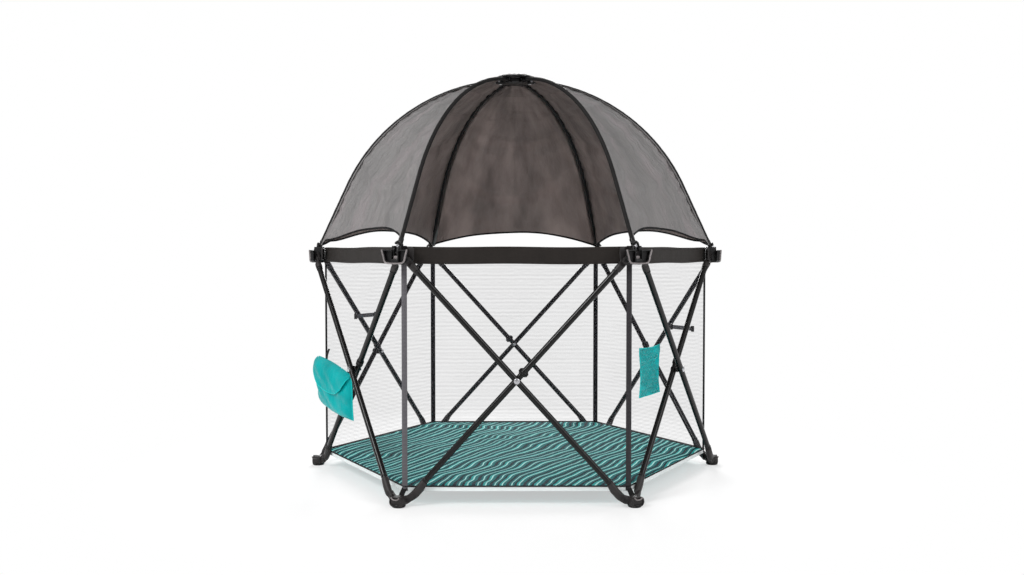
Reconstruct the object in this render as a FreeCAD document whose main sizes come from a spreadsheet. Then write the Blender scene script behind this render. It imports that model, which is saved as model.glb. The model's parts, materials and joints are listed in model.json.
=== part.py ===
"""Hexagonal travel play yard: six folding side frames, mesh walls, a floor mat and a ribbed canopy.

Frame: millimetres, +Z up, the floor at z 0, the hexagon's centre on the Z axis and the open canopy side
facing -Y. Corner k stands at 240 + 60 k degrees and side k runs from corner k to corner k + 1.
Each repeated part is modelled once, in the frame of corner or side 0, and turned about Z into its places.
"""

import math
import os

import FreeCAD
import Part
from FreeCAD import Placement, Rotation, Vector

SIDES = 6
STEP_ANGLE = 360 / SIDES
FIRST_CORNER_ANGLE = 240.0
X_AXIS, Y_AXIS, Z_AXIS = Vector(1, 0, 0), Vector(0, 1, 0), Vector(0, 0, 1)

DIMENSIONS = {
    "side": 610,
    "pin_inset": 25,
    "plane_offset": 10,
    "top_pin_z": 636,
    "foot_pin_z": 19,
    "tube_radius": 8,
    "tube_wall": 1.4,
    "lug_length": 40,
    "lug_thickness": 5,
    "lug_radius": 9,
    "lug_plate_length": 50,
    "lug_plate_height": 14.4,
    "pin_radius": 3,
    "running_gap": 0.08,
    "side_gap": 0.3,
    "cut_overrun": 1,
    "ear_thickness": 8,
    "pin_head_radius": 5.5,
    "pin_head_height": 2,
    "rivet_head_radius": 7,
    "rivet_head_height": 2,
    "rivet_tail_height": 1.2,
    "collar_start": 18,
    "collar_length": 16,
    "collar_wall": 2.4,
    "collar_wing": 13.5,
    "collar_wing_thickness": 6,
    "collar_wing_inset": 2,
    "hub_half_width": 32,
    "hub_height": 34,
    "hub_rise": 46,
    "hub_front": 12,
    "hub_wall_gap": 0.45,
    "hub_floor_rise": 4,
    "channel_half_width": 8.5,
    "channel_back": 19,
    "boss_half_width": 13,
    "boss_back": 10,
    "boss_drop": 4,
    "foot_height": 30,
    "foot_back": 9,
    "foot_front": 14,
    "foot_half_width": 13,
    "pad_radius": 18,
    "pad_height": 8,
    "pole_radius": 4.75,
    "pole_pin_rise": 16,
    "pole_pin_radius": 2.5,
    "pole_eye_radius": 5,
    "pole_foot_angle": 65,
    "pole_crown_angle": 4,
    "saddle_half_length": 9,
    "saddle_cheek": 3,
    "saddle_height": 24,
    "saddle_floor": 8.5,
    "crown_pin_z": 1180,
    "crown_plate_margin": 12,
    "crown_plate_height": 14.5,
    "crown_plate_drop": 8,
    "crown_slot_half_width": 5.3,
    "crown_slot_reach": 8,
    "crown_cap_margin": 9,
    "crown_cap_height": 13,
    "crown_cap_lift": 7,
    "crown_cap_slope": 20,
    "wall_gap": 0.6,
    "wall_thickness": 2,
    "wall_top_rise": 1.5,
    "seam_gap": 0.5,
    "rim_thickness": 3,
    "mat_rise": 6,
    "mat_thickness": 14,
    "mat_edge_gap": 0.4,
    "strap_length": 45,
    "trim_half_width": 8,
    "trim_thickness": 1.5,
    "binding_gap": 1,
    "pull_length": 90,
    "left_pull_x": 90,
    "left_pull_z": 445,
    "right_pull_x": -90,
    "right_pull_z": 400,
    "gore_thickness": 2,
    "gore_pole_gap": 0.75,
    "gore_hub_gap": 10,
    "gore_hem_rise": 63,
    "gore_cap_gap": 7,
    "pouch_width": 258,
    "pouch_height": 148,
    "pouch_depth": 30,
    "pouch_start": 18,
    "pouch_z": 188,
    "pocket_width": 145,
    "pocket_height": 132,
    "pocket_thickness": 4,
    "pocket_start": 86,
    "pocket_z": 270,
}

DERIVED = {
    "apothem": "=side * cos(30 deg)",
    "bar_run": "=side - 2 * pin_inset",
    "bar_rise": "=top_pin_z - foot_pin_z",
    "bar_length": "=sqrt(bar_run ^ 2 + bar_rise ^ 2)",
    "bar_angle": "=atan(bar_rise / bar_run) / 1 deg",
    "bar_middle_z": "=(top_pin_z + foot_pin_z) / 2",
    "outer_plane": "=apothem + plane_offset",
    "inner_plane": "=apothem - plane_offset",
    "fabric_inset": "=plane_offset + tube_radius + collar_wall + wall_gap",
    "wall_plane": "=apothem - fabric_inset",
    "wall_top_z": "=top_pin_z + wall_top_rise",
    "mat_bottom_z": "=foot_height + mat_rise",
    "hub_top_z": "=top_pin_z + hub_rise",
    "hub_floor_z": "=top_pin_z + hub_floor_rise",
    "hub_back": "=fabric_inset / cos(30 deg) - hub_wall_gap",
    "boss_bottom_z": "=top_pin_z - boss_drop",
    "mat_apothem": "=wall_plane - wall_thickness - mat_edge_gap",
    "ear_face": "=plane_offset - lug_thickness / 2 - side_gap",
    "pole_pin_z": "=hub_floor_z + pole_pin_rise",
    "crown_pin_radius": "=2 * pin_inset",
    "crown_slot_start": "=crown_pin_radius - crown_slot_reach",
    "crown_plate_radius": "=crown_pin_radius + crown_plate_margin",
    "crown_cap_radius": "=crown_plate_radius + crown_cap_margin",
    "crown_cap_top_radius": "=crown_cap_radius - crown_cap_slope",
    "gore_foot_z": "=hub_top_z + gore_hub_gap",
    "gore_top_radius": "=crown_cap_radius + gore_cap_gap",
    "pole_run": "=side - crown_pin_radius",
    "pole_rise": "=crown_pin_z - pole_pin_z",
    "pole_turn": "=pole_foot_angle - pole_crown_angle",
    "pole_mean": "=(pole_foot_angle + pole_crown_angle) / 2",
    "pole_straight": "=(pole_rise * cos(pole_mean * 1 deg) - pole_run * sin(pole_mean * 1 deg))"
    " / sin(pole_turn * 0.5 deg)",
    "pole_chord": "=(pole_run * sin(pole_foot_angle * 1 deg) - pole_rise * cos(pole_foot_angle * 1 deg))"
    " / sin(pole_turn * 0.5 deg)",
    "pole_bend": "=pole_chord / (2 * sin(pole_turn * 0.5 deg))",
}

doc = FreeCAD.newDocument("play_yard")
sheet = doc.addObject("Spreadsheet::Sheet", "dims")
nodes = []


def fill_sheet():
    for row, (name, value) in enumerate([*DIMENSIONS.items(), *DERIVED.items()], start=1):
        sheet.set(f"A{row}", name)
        sheet.set(f"B{row}", str(value))
        sheet.setAlias(f"B{row}", name)
    doc.recompute()


def size(name):
    value = sheet.get(name)
    return float(getattr(value, "Value", value))


def in_sheet(expression):
    """The expression with each dimension's name pointed at the sheet."""
    words = sorted([*DIMENSIONS, *DERIVED], key=len, reverse=True)
    out = str(expression)
    for index, word in enumerate(words):
        out = replace_word(out, word, f"@{index}@")
    for index, word in enumerate(words):
        out = out.replace(f"@{index}@", f"dims.{word}")
    return out


def replace_word(text, word, new):
    pieces, start = [], 0
    while (at := text.find(word, start)) >= 0:
        end = at + len(word)
        before = text[at - 1] if at else " "
        after = text[end] if end < len(text) else " "
        alone = not (before.isalnum() or before in "_.@" or after.isalnum() or after == "_")
        pieces.append(text[start:at] + (new if alone else word))
        start = end
    return "".join(pieces) + text[start:]


def bind(thing, **expressions):
    for prop, expression in expressions.items():
        thing.setExpression(prop.replace("__", "."), in_sheet(expression))
    return thing


def at(thing, x=0, y=0, z=0):
    return bind(thing, Placement__Base__x=x, Placement__Base__y=y, Placement__Base__z=z)


def box(name, length, width, height, x=0, y=0, z=0):
    thing = doc.addObject("Part::Box", name)
    bind(thing, Length=length, Width=width, Height=height)
    return at(thing, x, y, z)


def rod(name, axis, radius, length, x=0, y=0, z=0):
    """A cylinder that starts at x, y, z and runs along axis."""
    thing = doc.addObject("Part::Cylinder", name)
    thing.Placement = Placement(Vector(), Rotation(Z_AXIS, axis))
    bind(thing, Radius=radius, Height=length)
    return at(thing, x, y, z)


def fuse(name, things):
    joined = doc.addObject("Part::MultiFuse", name)
    joined.Shapes = things
    joined.Refine = True
    return joined


def cut(name, base, tools):
    result = doc.addObject("Part::Cut", name)
    result.Base = base
    result.Tool = tools[0] if len(tools) == 1 else fuse(f"{name}_tools", tools)
    return result


def turned(name, things, angle):
    """The things together, turned about the Z axis."""
    group = doc.addObject("Part::Compound", name)
    group.Label = name
    group.Links = things
    group.Placement = Placement(Vector(), Rotation(Z_AXIS, angle))
    return group


def node(name, things, angle=0.0):
    made = turned(name, things, angle)
    nodes.append(made)
    return made


def corner_angle(corner):
    return FIRST_CORNER_ANGLE + STEP_ANGLE * corner


def at_each_corner(name, things):
    for corner in range(SIDES):
        node(f"{name}_{corner}", things, corner_angle(corner))


def on_each_side(name, things, sides=range(SIDES)):
    for side in sides:
        node(f"{name}_{side}", things, STEP_ANGLE * side)


def ear_with_pin(name, facing, pin_z, low_z, high_z):
    """An ear along +X with its pivot pin, on the side that facing, +1 or -1, gives in Y."""
    axis = Vector(0, facing, 0)
    outer_y = f"{facing} * ear_face"
    low_y = "ear_face - ear_thickness" if facing > 0 else "-ear_face"
    head_y = f"{facing} * (plane_offset + lug_thickness / 2 + side_gap)"
    parts = [
        box(f"{name}_web", "pin_inset", "ear_thickness", f"{high_z} - ({low_z})", 0, low_y, low_z),
        rod(f"{name}_eye", axis, "lug_radius", "ear_thickness", "pin_inset",
            f"{facing} * (ear_face - ear_thickness)", pin_z),
        rod(f"{name}_pin", axis, "pin_radius", "lug_thickness + 3 * side_gap", "pin_inset", outer_y, pin_z),
        rod(f"{name}_head", axis, "pin_head_radius", "pin_head_height", "pin_inset", head_y, pin_z),
    ]
    return fuse(name, parts)


def both_ears(name, facing, pin_z, low_z, high_z):
    ear = ear_with_pin(name, facing, pin_z, low_z, high_z)
    pair = []
    for label, angle in (("left", 120), ("right", -120)):
        placed = turned(f"{name}_{label}", [ear], angle)
        pair.append(at(placed, "side", 0, 0))
    return pair


def make_hub():
    end_radius = "hub_height / 2"
    middle_z = "hub_top_z - hub_height / 2"
    depth = "hub_front + hub_back"
    block = [
        box("hub_block", depth, "2 * hub_half_width - hub_height", "hub_height",
            "side - hub_back", "hub_height / 2 - hub_half_width", "hub_top_z - hub_height"),
        rod("hub_end_a", X_AXIS, end_radius, depth, "side - hub_back",
            "hub_half_width - hub_height / 2", middle_z),
        rod("hub_end_b", X_AXIS, end_radius, depth, "side - hub_back",
            "hub_height / 2 - hub_half_width", middle_z),
        box("hub_boss", "boss_back + hub_front", "2 * boss_half_width",
            "hub_top_z - hub_height / 2 - boss_bottom_z",
            "side - boss_back", "-boss_half_width", "boss_bottom_z"),
    ]
    ears = both_ears("hub_ear", -1, "top_pin_z", "top_pin_z - lug_radius", middle_z)
    channel = box("hub_channel", "channel_back + 2 * hub_front", "2 * channel_half_width", "hub_height * 2",
                  "side - channel_back", "-channel_half_width", "hub_floor_z")
    at_each_corner("hub", [cut("hub_casting", fuse("hub_solid", [*block, *ears]), [channel])])


def make_foot():
    block = [
        box("foot_block", "foot_back + foot_front", "2 * foot_half_width", "foot_height",
            "side - foot_back", "-foot_half_width", 0),
        rod("foot_pad", Z_AXIS, "pad_radius", "pad_height", "side", 0, 0),
    ]
    ears = both_ears("foot_ear", 1, "foot_pin_z", "foot_pin_z - lug_radius", "foot_pin_z + lug_radius")
    at_each_corner("foot", [fuse("foot_casting", [*block, *ears])])


def bare_bar(name, bore_through):
    """A side frame bar along X about the origin: a tube with a flattened lug and pin hole at each end."""
    length, start = "bar_length - 2 * lug_length", "lug_length - bar_length / 2"
    tube = rod(f"{name}_tube", X_AXIS, "tube_radius", length, start)
    bore = rod(f"{name}_bore", X_AXIS, "tube_radius - tube_wall", f"{length} + 2 * cut_overrun",
               f"{start} - cut_overrun")
    parts = [cut(f"{name}_pipe", tube, [bore])]
    holes = []
    for label, sign in (("low", -1), ("high", 1)):
        end_x = f"{sign} * bar_length / 2"
        plate_x = "-bar_length / 2" if sign < 0 else "bar_length / 2 - lug_plate_length"
        parts.append(box(f"{name}_{label}_lug", "lug_plate_length", "lug_thickness", "lug_plate_height",
                         plate_x, "-lug_thickness / 2", "-lug_plate_height / 2"))
        parts.append(rod(f"{name}_{label}_eye", Y_AXIS, "lug_radius", "lug_thickness", end_x,
                         "-lug_thickness / 2"))
        holes.append(rod(f"{name}_{label}_hole", Y_AXIS, "pin_radius + running_gap", "2 * lug_thickness",
                         end_x, "-lug_thickness"))
    if bore_through:
        holes.append(rod(f"{name}_pivot_hole", Y_AXIS, "pin_radius + running_gap", "4 * tube_radius", 0,
                         "-2 * tube_radius"))
    return cut(f"{name}_bare", fuse(f"{name}_joined", parts), holes)


def leaned(name, thing, plane, lean):
    """The thing set into a side's plane, leaned about the plane's normal."""
    group = doc.addObject("Part::Compound", name)
    group.Links = [thing]
    group.Placement = Placement(Vector(), Rotation(Vector(0, lean, 0), STEP_ANGLE))
    group.setExpression("Placement.Rotation.Angle", in_sheet("bar_angle * 1 deg"))
    return at(group, 0, f"-{plane}", "bar_middle_z")


def make_bars():
    tail_y = "2 * plane_offset + tube_radius + side_gap"
    outward, inward = Vector(0, -1, 0), Y_AXIS
    rivet = [
        rod("rivet_shank", inward, "pin_radius", f"tube_radius + {tail_y}", 0, "-tube_radius"),
        rod("rivet_head", outward, "rivet_head_radius", "rivet_head_height * 2", 0,
            "rivet_head_height - tube_radius"),
        rod("rivet_spacer", inward, "rivet_head_radius", "2 * plane_offset - 2 * tube_radius", 0,
            "tube_radius - side_gap"),
        rod("rivet_tail", inward, "rivet_head_radius", "rivet_tail_height", 0, tail_y),
    ]
    outer = fuse("outer_bar", [bare_bar("outer", False), *rivet])
    on_each_side("outer_tube", [leaned("outer_leaned", outer, "outer_plane", 1)])
    inner = bare_bar("inner", True)
    on_each_side("inner_tube", [leaned("inner_leaned", inner, "inner_plane", -1)])


def make_lock_collars():
    ring = rod("collar_ring", X_AXIS, "tube_radius + collar_wall", "collar_length", "collar_start")
    wings = box("collar_wings", "collar_length - 2 * collar_wing_inset", "collar_wing_thickness",
                "2 * collar_wing", "collar_start + collar_wing_inset", "-collar_wing_thickness / 2",
                "-collar_wing")
    bore = rod("collar_bore", X_AXIS, "tube_radius + running_gap", "collar_length + 2 * cut_overrun",
               "collar_start - cut_overrun")
    collar = cut("collar_solid", fuse("collar_blank", [ring, wings]), [bore])
    on_each_side("lock_collar", [leaned("collar_leaned", collar, "inner_plane", -1)])


def make_poles():
    """The pole stands on its foot pin: a straight length along Z, then one bend towards the crown."""
    straight = rod("pole_straight_run", Z_AXIS, "pole_radius", "pole_straight")
    bend = doc.addObject("Part::Torus", "pole_bend_run")
    bend.Placement = Placement(Vector(), Rotation(X_AXIS, 90))
    bind(bend, Radius1="pole_bend", Radius2="pole_radius", Angle3="pole_turn * 1 deg")
    at(bend, "-pole_bend", 0, "pole_straight")
    end_x = "pole_bend * (cos(pole_turn * 1 deg) - 1)"
    end_z = "pole_straight + pole_bend * sin(pole_turn * 1 deg)"
    solid, holes = [straight, bend], []
    for label, x, z in (("foot", 0, 0), ("crown", end_x, end_z)):
        solid.append(rod(f"pole_{label}_eye", Y_AXIS, "pole_eye_radius", "2 * pole_radius",
                         x, "-pole_radius", z))
        holes.append(rod(f"pole_{label}_hole", Y_AXIS, "pole_pin_radius + running_gap", "4 * pole_radius",
                         x, "-2 * pole_radius", z))
    pole = turned("pole_stood", [cut("pole_solid", fuse("pole_joined", solid), holes)], 0)
    pole.Placement = Placement(Vector(), Rotation(Vector(0, -1, 0), STEP_ANGLE))
    pole.setExpression("Placement.Rotation.Angle", in_sheet("(90 - pole_foot_angle) * 1 deg"))
    at_each_corner("canopy_pole", [at(pole, "side", 0, "pole_pin_z")])


def make_saddles():
    half_width = "(channel_half_width - side_gap)"
    inside = f"({half_width} - saddle_cheek)"
    low_z = "hub_floor_z + side_gap"
    body = box("saddle_body", "2 * saddle_half_length", f"2 * {half_width}", "saddle_height",
               "side - saddle_half_length", f"-{half_width}", low_z)
    slot = box("saddle_slot", "2 * saddle_half_length + 2 * cut_overrun", f"2 * {inside}", "saddle_height",
               "side - saddle_half_length - cut_overrun", f"-{inside}", "hub_floor_z + saddle_floor")
    pin = rod("saddle_pin", Y_AXIS, "pole_pin_radius", f"2 * {half_width}", "side", f"-{half_width}",
              "pole_pin_z")
    saddle = fuse("saddle_solid", [cut("saddle_fork", body, [slot]), pin])
    at_each_corner("canopy_saddle", [saddle])


def make_crown():
    bottom_z = "crown_pin_z - crown_plate_drop"
    disc = rod("crown_disc", Z_AXIS, "crown_plate_radius", "crown_plate_height", 0, 0, bottom_z)
    slot = box("crown_slot", "crown_plate_radius", "2 * crown_slot_half_width", "2 * crown_plate_height",
               "crown_slot_start", "-crown_slot_half_width", "crown_pin_z - crown_plate_height")
    pin = rod("crown_pin", Y_AXIS, "pole_pin_radius", "4 * pole_radius", "crown_pin_radius",
              "-2 * pole_radius", "crown_pin_z")
    slots = [turned(f"crown_slot_{k}", [slot], corner_angle(k)) for k in range(SIDES)]
    pins = [turned(f"crown_pin_{k}", [pin], corner_angle(k)) for k in range(SIDES)]
    plate = fuse("crown_solid", [cut("crown_slotted", disc, slots), *pins])
    cap_z = "crown_pin_z + crown_cap_lift"
    rim = rod("cap_rim", Z_AXIS, "crown_cap_radius", "crown_cap_height / 2", 0, 0, cap_z)
    dome = doc.addObject("Part::Cone", "cap_dome")
    bind(dome, Radius1="crown_cap_radius", Radius2="crown_cap_top_radius", Height="crown_cap_height / 2")
    at(dome, 0, 0, f"{cap_z} + crown_cap_height / 2")
    node("canopy_crown", [plate, fuse("cap_solid", [rim, dome])])


def pole_line(distance):
    """Radius and height of the pole's centre line, and its slope, at a distance from its foot pin."""
    start = math.radians(size("pole_foot_angle"))
    straight, bend = size("pole_straight"), size("pole_bend")
    along = min(distance, straight)
    radius = size("side") - along * math.cos(start)
    height = size("pole_pin_z") + along * math.sin(start)
    slope = start - max(distance - straight, 0) / bend
    radius -= bend * (math.sin(start) - math.sin(slope))
    height += bend * (math.cos(slope) - math.cos(start))
    return radius, height, slope


def gore_outline():
    """The gore's middle line in its side's centre plane, as apothem, height and slope."""
    shrink = math.cos(math.radians(STEP_ANGLE / 2))
    length = size("pole_straight") + size("pole_bend") * math.radians(size("pole_turn"))
    steps, stations = 400, 12
    line = [pole_line(length * step / steps) for step in range(steps + 1)]
    kept = [p for p in line if p[1] >= size("gore_foot_z") and p[0] >= size("gore_top_radius")]
    chosen = [kept[round(i * (len(kept) - 1) / stations)] for i in range(stations + 1)]
    return [(r * shrink, z, math.atan2(math.sin(slope), math.cos(slope) * shrink)) for r, z, slope in chosen]


def gore_shape():
    """A canopy panel: the poles' curve drawn across side 0, between the two poles, with a scooped hem."""
    half = size("gore_thickness") / 2
    rows = {}
    for sign in (-1, 1):
        rows[sign] = [
            Vector(0, -(a + sign * half * math.sin(slope)), z + sign * half * math.cos(slope))
            for a, z, slope in gore_outline()
        ]
    curves = [Part.BSplineCurve(), Part.BSplineCurve()]
    curves[0].interpolate(rows[-1])
    curves[1].interpolate(rows[1])
    edges = [curves[0].toShape(), Part.makeLine(rows[-1][-1], rows[1][-1]),
             curves[1].toShape(), Part.makeLine(rows[1][0], rows[-1][0])]
    width = 2 * size("side")
    sheet_solid = Part.Face(Part.Wire(Part.__sortEdges__(edges))).extrude(Vector(width, 0, 0))
    sheet_solid.translate(Vector(-width / 2, 0, 0))
    clear = size("pole_radius") + size("gore_pole_gap")
    tip = clear / math.sin(math.radians(STEP_ANGLE / 2))
    reach = size("side")
    spread = reach * math.tan(math.radians(STEP_ANGLE / 2))
    corners = [Vector(0, -tip, 0), Vector(spread, -tip - reach, 0), Vector(-spread, -tip - reach, 0)]
    wedge = Part.Face(Part.makePolygon([*corners, corners[0]])).extrude(Vector(0, 0, 2 * size("crown_pin_z")))
    rise, chord = size("gore_hem_rise"), size("side") / 2
    radius = (chord ** 2 + rise ** 2) / (2 * rise)
    hem_z = size("gore_foot_z") + rise - radius
    scoop = Part.makeCylinder(radius, size("side"), Vector(0, 0, hem_z), Vector(0, -1, 0))
    return sheet_solid.common(wedge).cut(scoop)


def make_gores():
    gore = doc.addObject("Part::Feature", "gore_panel")
    gore.Shape = gore_shape()
    on_each_side("canopy_gore", [gore], range(1, SIDES))


def make_walls():
    """The mesh panels with the rim band over them, each ending a gap short of its neighbour."""
    half_wall = "((wall_plane - wall_thickness) * tan(30 deg) - side_gap)"
    panel = box("wall_panel", f"2 * {half_wall}", "wall_thickness", "wall_top_z - mat_bottom_z",
                f"-{half_wall}", "-wall_plane", "mat_bottom_z")
    on_each_side("mesh_wall", [panel])
    half_band = "((wall_plane - rim_thickness) * tan(30 deg) - side_gap)"
    band = box("rim_panel", f"2 * {half_band}", "rim_thickness", "hub_top_z - wall_top_z - seam_gap",
               f"-{half_band}", "-wall_plane", "wall_top_z + seam_gap")
    node("rim_band", [turned(f"rim_panel_{side}", [band], STEP_ANGLE * side) for side in range(SIDES)])


def make_mat():
    """The mat's front half; the rear half is the same piece turned round, with a fold line between them."""
    hexagon = doc.addObject("Part::Prism", "mat_hexagon")
    hexagon.Polygon = SIDES
    bind(hexagon, Circumradius="mat_apothem / cos(30 deg)", Height="mat_thickness")
    at(hexagon, 0, 0, "mat_bottom_z")
    rear = box("mat_rear_space", "4 * side", "2 * side", "2 * mat_thickness", "-2 * side", "-side_gap / 2",
               "mat_bottom_z - mat_thickness / 2")
    half = cut("mat_half", hexagon, [rear])
    node("floor_mat_front", [half])
    node("floor_mat_rear", [half], 180)


def make_trim():
    """Corner bindings inside the walls, straps from the mat's corners to the feet, and two pull loops."""
    face = "((wall_plane - rim_thickness) / cos(30 deg) - trim_half_width * tan(30 deg) - side_gap)"
    low_z = "mat_bottom_z + mat_thickness + binding_gap"
    binding = box("binding", "trim_thickness", "2 * trim_half_width", f"hub_top_z - ({low_z})",
                  f"{face} - trim_thickness", "-trim_half_width", low_z)
    strap = box("mat_strap", "strap_length", "2 * trim_half_width", "2 * trim_thickness",
                "side - foot_back - side_gap - strap_length", "-trim_half_width",
                "mat_bottom_z - side_gap - 2 * trim_thickness")
    loops = []
    for label, side in (("left", 4), ("right", 2)):
        loop = box(f"pull_{label}", "pull_length", "2 * trim_thickness", "2 * trim_half_width",
                   f"{label}_pull_x - pull_length / 2", "wall_thickness + side_gap - wall_plane",
                   f"{label}_pull_z")
        loops.append(turned(f"pull_{label}_turned", [loop], STEP_ANGLE * side))
    pieces = []
    for corner in range(SIDES):
        pieces.append(turned(f"binding_{corner}", [binding], corner_angle(corner)))
        pieces.append(turned(f"mat_strap_{corner}", [strap], corner_angle(corner)))
    node("webbing_trim", [*pieces, *loops])


def make_pouches():
    pouch = box("pouch_bag", "pouch_width", "pouch_depth", "pouch_height", "pouch_start - side / 2",
                "plane_offset - tube_radius - seam_gap - apothem - pouch_depth", "pouch_z")
    node("storage_pouch", [pouch], STEP_ANGLE * 5)
    pocket = box("pocket_bag", "pocket_width", "pocket_thickness", "pocket_height", "pocket_start - side / 2",
                 "wall_thickness + side_gap - wall_plane", "pocket_z")
    node("side_pocket", [pocket], STEP_ANGLE)


def check_all():
    for thing in doc.Objects:
        bad = [word for word in thing.State if word in ("Invalid", "Error")]
        if bad or (hasattr(thing, "Shape") and (thing.Shape.isNull() or not thing.Shape.isValid())):
            raise RuntimeError(f"{thing.Name} did not build: {bad}")


def export_all():
    os.makedirs("parts", exist_ok=True)
    for thing in nodes:
        thing.Shape.exportStep(os.path.join("parts", f"{thing.Label}.step"))


fill_sheet()
make_hub()
make_foot()
make_bars()
make_lock_collars()
make_poles()
make_saddles()
make_crown()
make_gores()
make_walls()
make_mat()
make_trim()
make_pouches()
doc.recompute()
check_all()
export_all()
print(f"{len(nodes)} parts")
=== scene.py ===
import json
import math

import bpy
import numpy as np
from mathutils import Matrix, Vector


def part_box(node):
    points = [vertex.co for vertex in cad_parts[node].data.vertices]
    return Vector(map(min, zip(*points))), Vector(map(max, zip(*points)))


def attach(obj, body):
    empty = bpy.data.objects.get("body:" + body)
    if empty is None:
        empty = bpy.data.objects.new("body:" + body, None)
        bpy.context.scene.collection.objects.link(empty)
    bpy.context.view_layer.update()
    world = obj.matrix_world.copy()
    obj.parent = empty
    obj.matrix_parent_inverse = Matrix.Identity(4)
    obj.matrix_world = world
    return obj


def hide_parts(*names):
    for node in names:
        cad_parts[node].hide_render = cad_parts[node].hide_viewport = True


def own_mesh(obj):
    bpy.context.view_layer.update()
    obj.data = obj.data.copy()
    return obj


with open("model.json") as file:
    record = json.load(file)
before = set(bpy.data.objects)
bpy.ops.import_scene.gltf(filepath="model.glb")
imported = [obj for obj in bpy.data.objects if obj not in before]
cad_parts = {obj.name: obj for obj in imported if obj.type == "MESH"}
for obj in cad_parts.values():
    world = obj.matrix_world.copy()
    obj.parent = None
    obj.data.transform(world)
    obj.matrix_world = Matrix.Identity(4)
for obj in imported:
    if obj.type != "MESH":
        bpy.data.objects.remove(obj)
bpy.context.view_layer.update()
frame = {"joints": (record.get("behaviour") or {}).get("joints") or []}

# ---------------------------------------------------------------- sizes, in metres, from the CAD frame

JOINTS = {joint["name"]: joint for joint in frame["joints"]}
SIDES = 6
STEP = 60.0
FIRST_CORNER = 240.0
TAN_30, COS_30 = math.tan(math.radians(30)), math.cos(math.radians(30))
FOLD = "frame_fold"


def pin(name):
    return np.array(JOINTS[name]["pos_m"])


def unit(degrees):
    return np.array([math.cos(math.radians(degrees)), math.sin(math.radians(degrees)), 0.0])


UP = np.array([0.0, 0.0, 1.0])
ALONG, OUTWARD = unit(0), unit(-90)  # side 0 runs along +X and faces -Y
POLE_FOOT, POLE_CROWN = pin("pole_foot_pin_0"), pin("pole_crown_pin_0")
SIDE = math.hypot(*POLE_FOOT[:2])
APOTHEM = SIDE * COS_30
PIN_INSET = pin(FOLD)[0] + SIDE / 2
TOP_PIN_Z, FOOT_PIN_Z = pin("pin_outer_tube_0_to_hub_0")[2], pin(FOLD)[2]
PLANE_OFFSET = -pin("pin_outer_tube_0_to_hub_0")[1] - APOTHEM
WALL_PLANE = -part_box("mesh_wall_0")[0][1]
WALL_LOW, WALL_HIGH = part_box("mesh_wall_0")[0][2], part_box("mesh_wall_0")[1][2]
BAND_DROP = 0.0095  # the band and the trays hang a little lower than the castings' blocks
RIM_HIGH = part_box("rim_band")[1][2] - BAND_DROP
RIM_LOW = WALL_HIGH - BAND_DROP
TRAY_LOW, TRAY_HIGH = TOP_PIN_Z - 0.007, TOP_PIN_Z + 0.028
MAT_LOW, MAT_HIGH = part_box("floor_mat_front")[0][2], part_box("floor_mat_front")[1][2]
MAT_APOTHEM = -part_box("floor_mat_front")[0][1]
CROWN_LOW, CROWN_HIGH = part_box("canopy_crown")[0][2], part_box("canopy_crown")[1][2]
TUBE_RADIUS = 0.008
LUG_HALF = 0.0025
FOOT_REACH, TOP_REACH, SLEEVE_LAP = 0.06, 0.034, 0.012  # end fittings along a bar
EAR_FACE = 0.0072
EAR_THICKNESS = 0.008
POLE_RADIUS = 0.00475
POLE_FOOT_ANGLE, POLE_CROWN_ANGLE = math.radians(65), math.radians(4)
HEM_Z, HEM_RISE = 0.679, 0.066  # a gore's lower corners, and the height of its arched hem above them
GORE_TOP_RADIUS = 0.074


def corner_angle(corner):
    return FIRST_CORNER + STEP * corner


# ---------------------------------------------------------------- materials

def srgb(red, green, blue):
    def line(value):
        value /= 255
        return value / 12.92 if value <= 0.04045 else ((value + 0.055) / 1.055) ** 2.4
    return (line(red), line(green), line(blue), 1.0)


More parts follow.
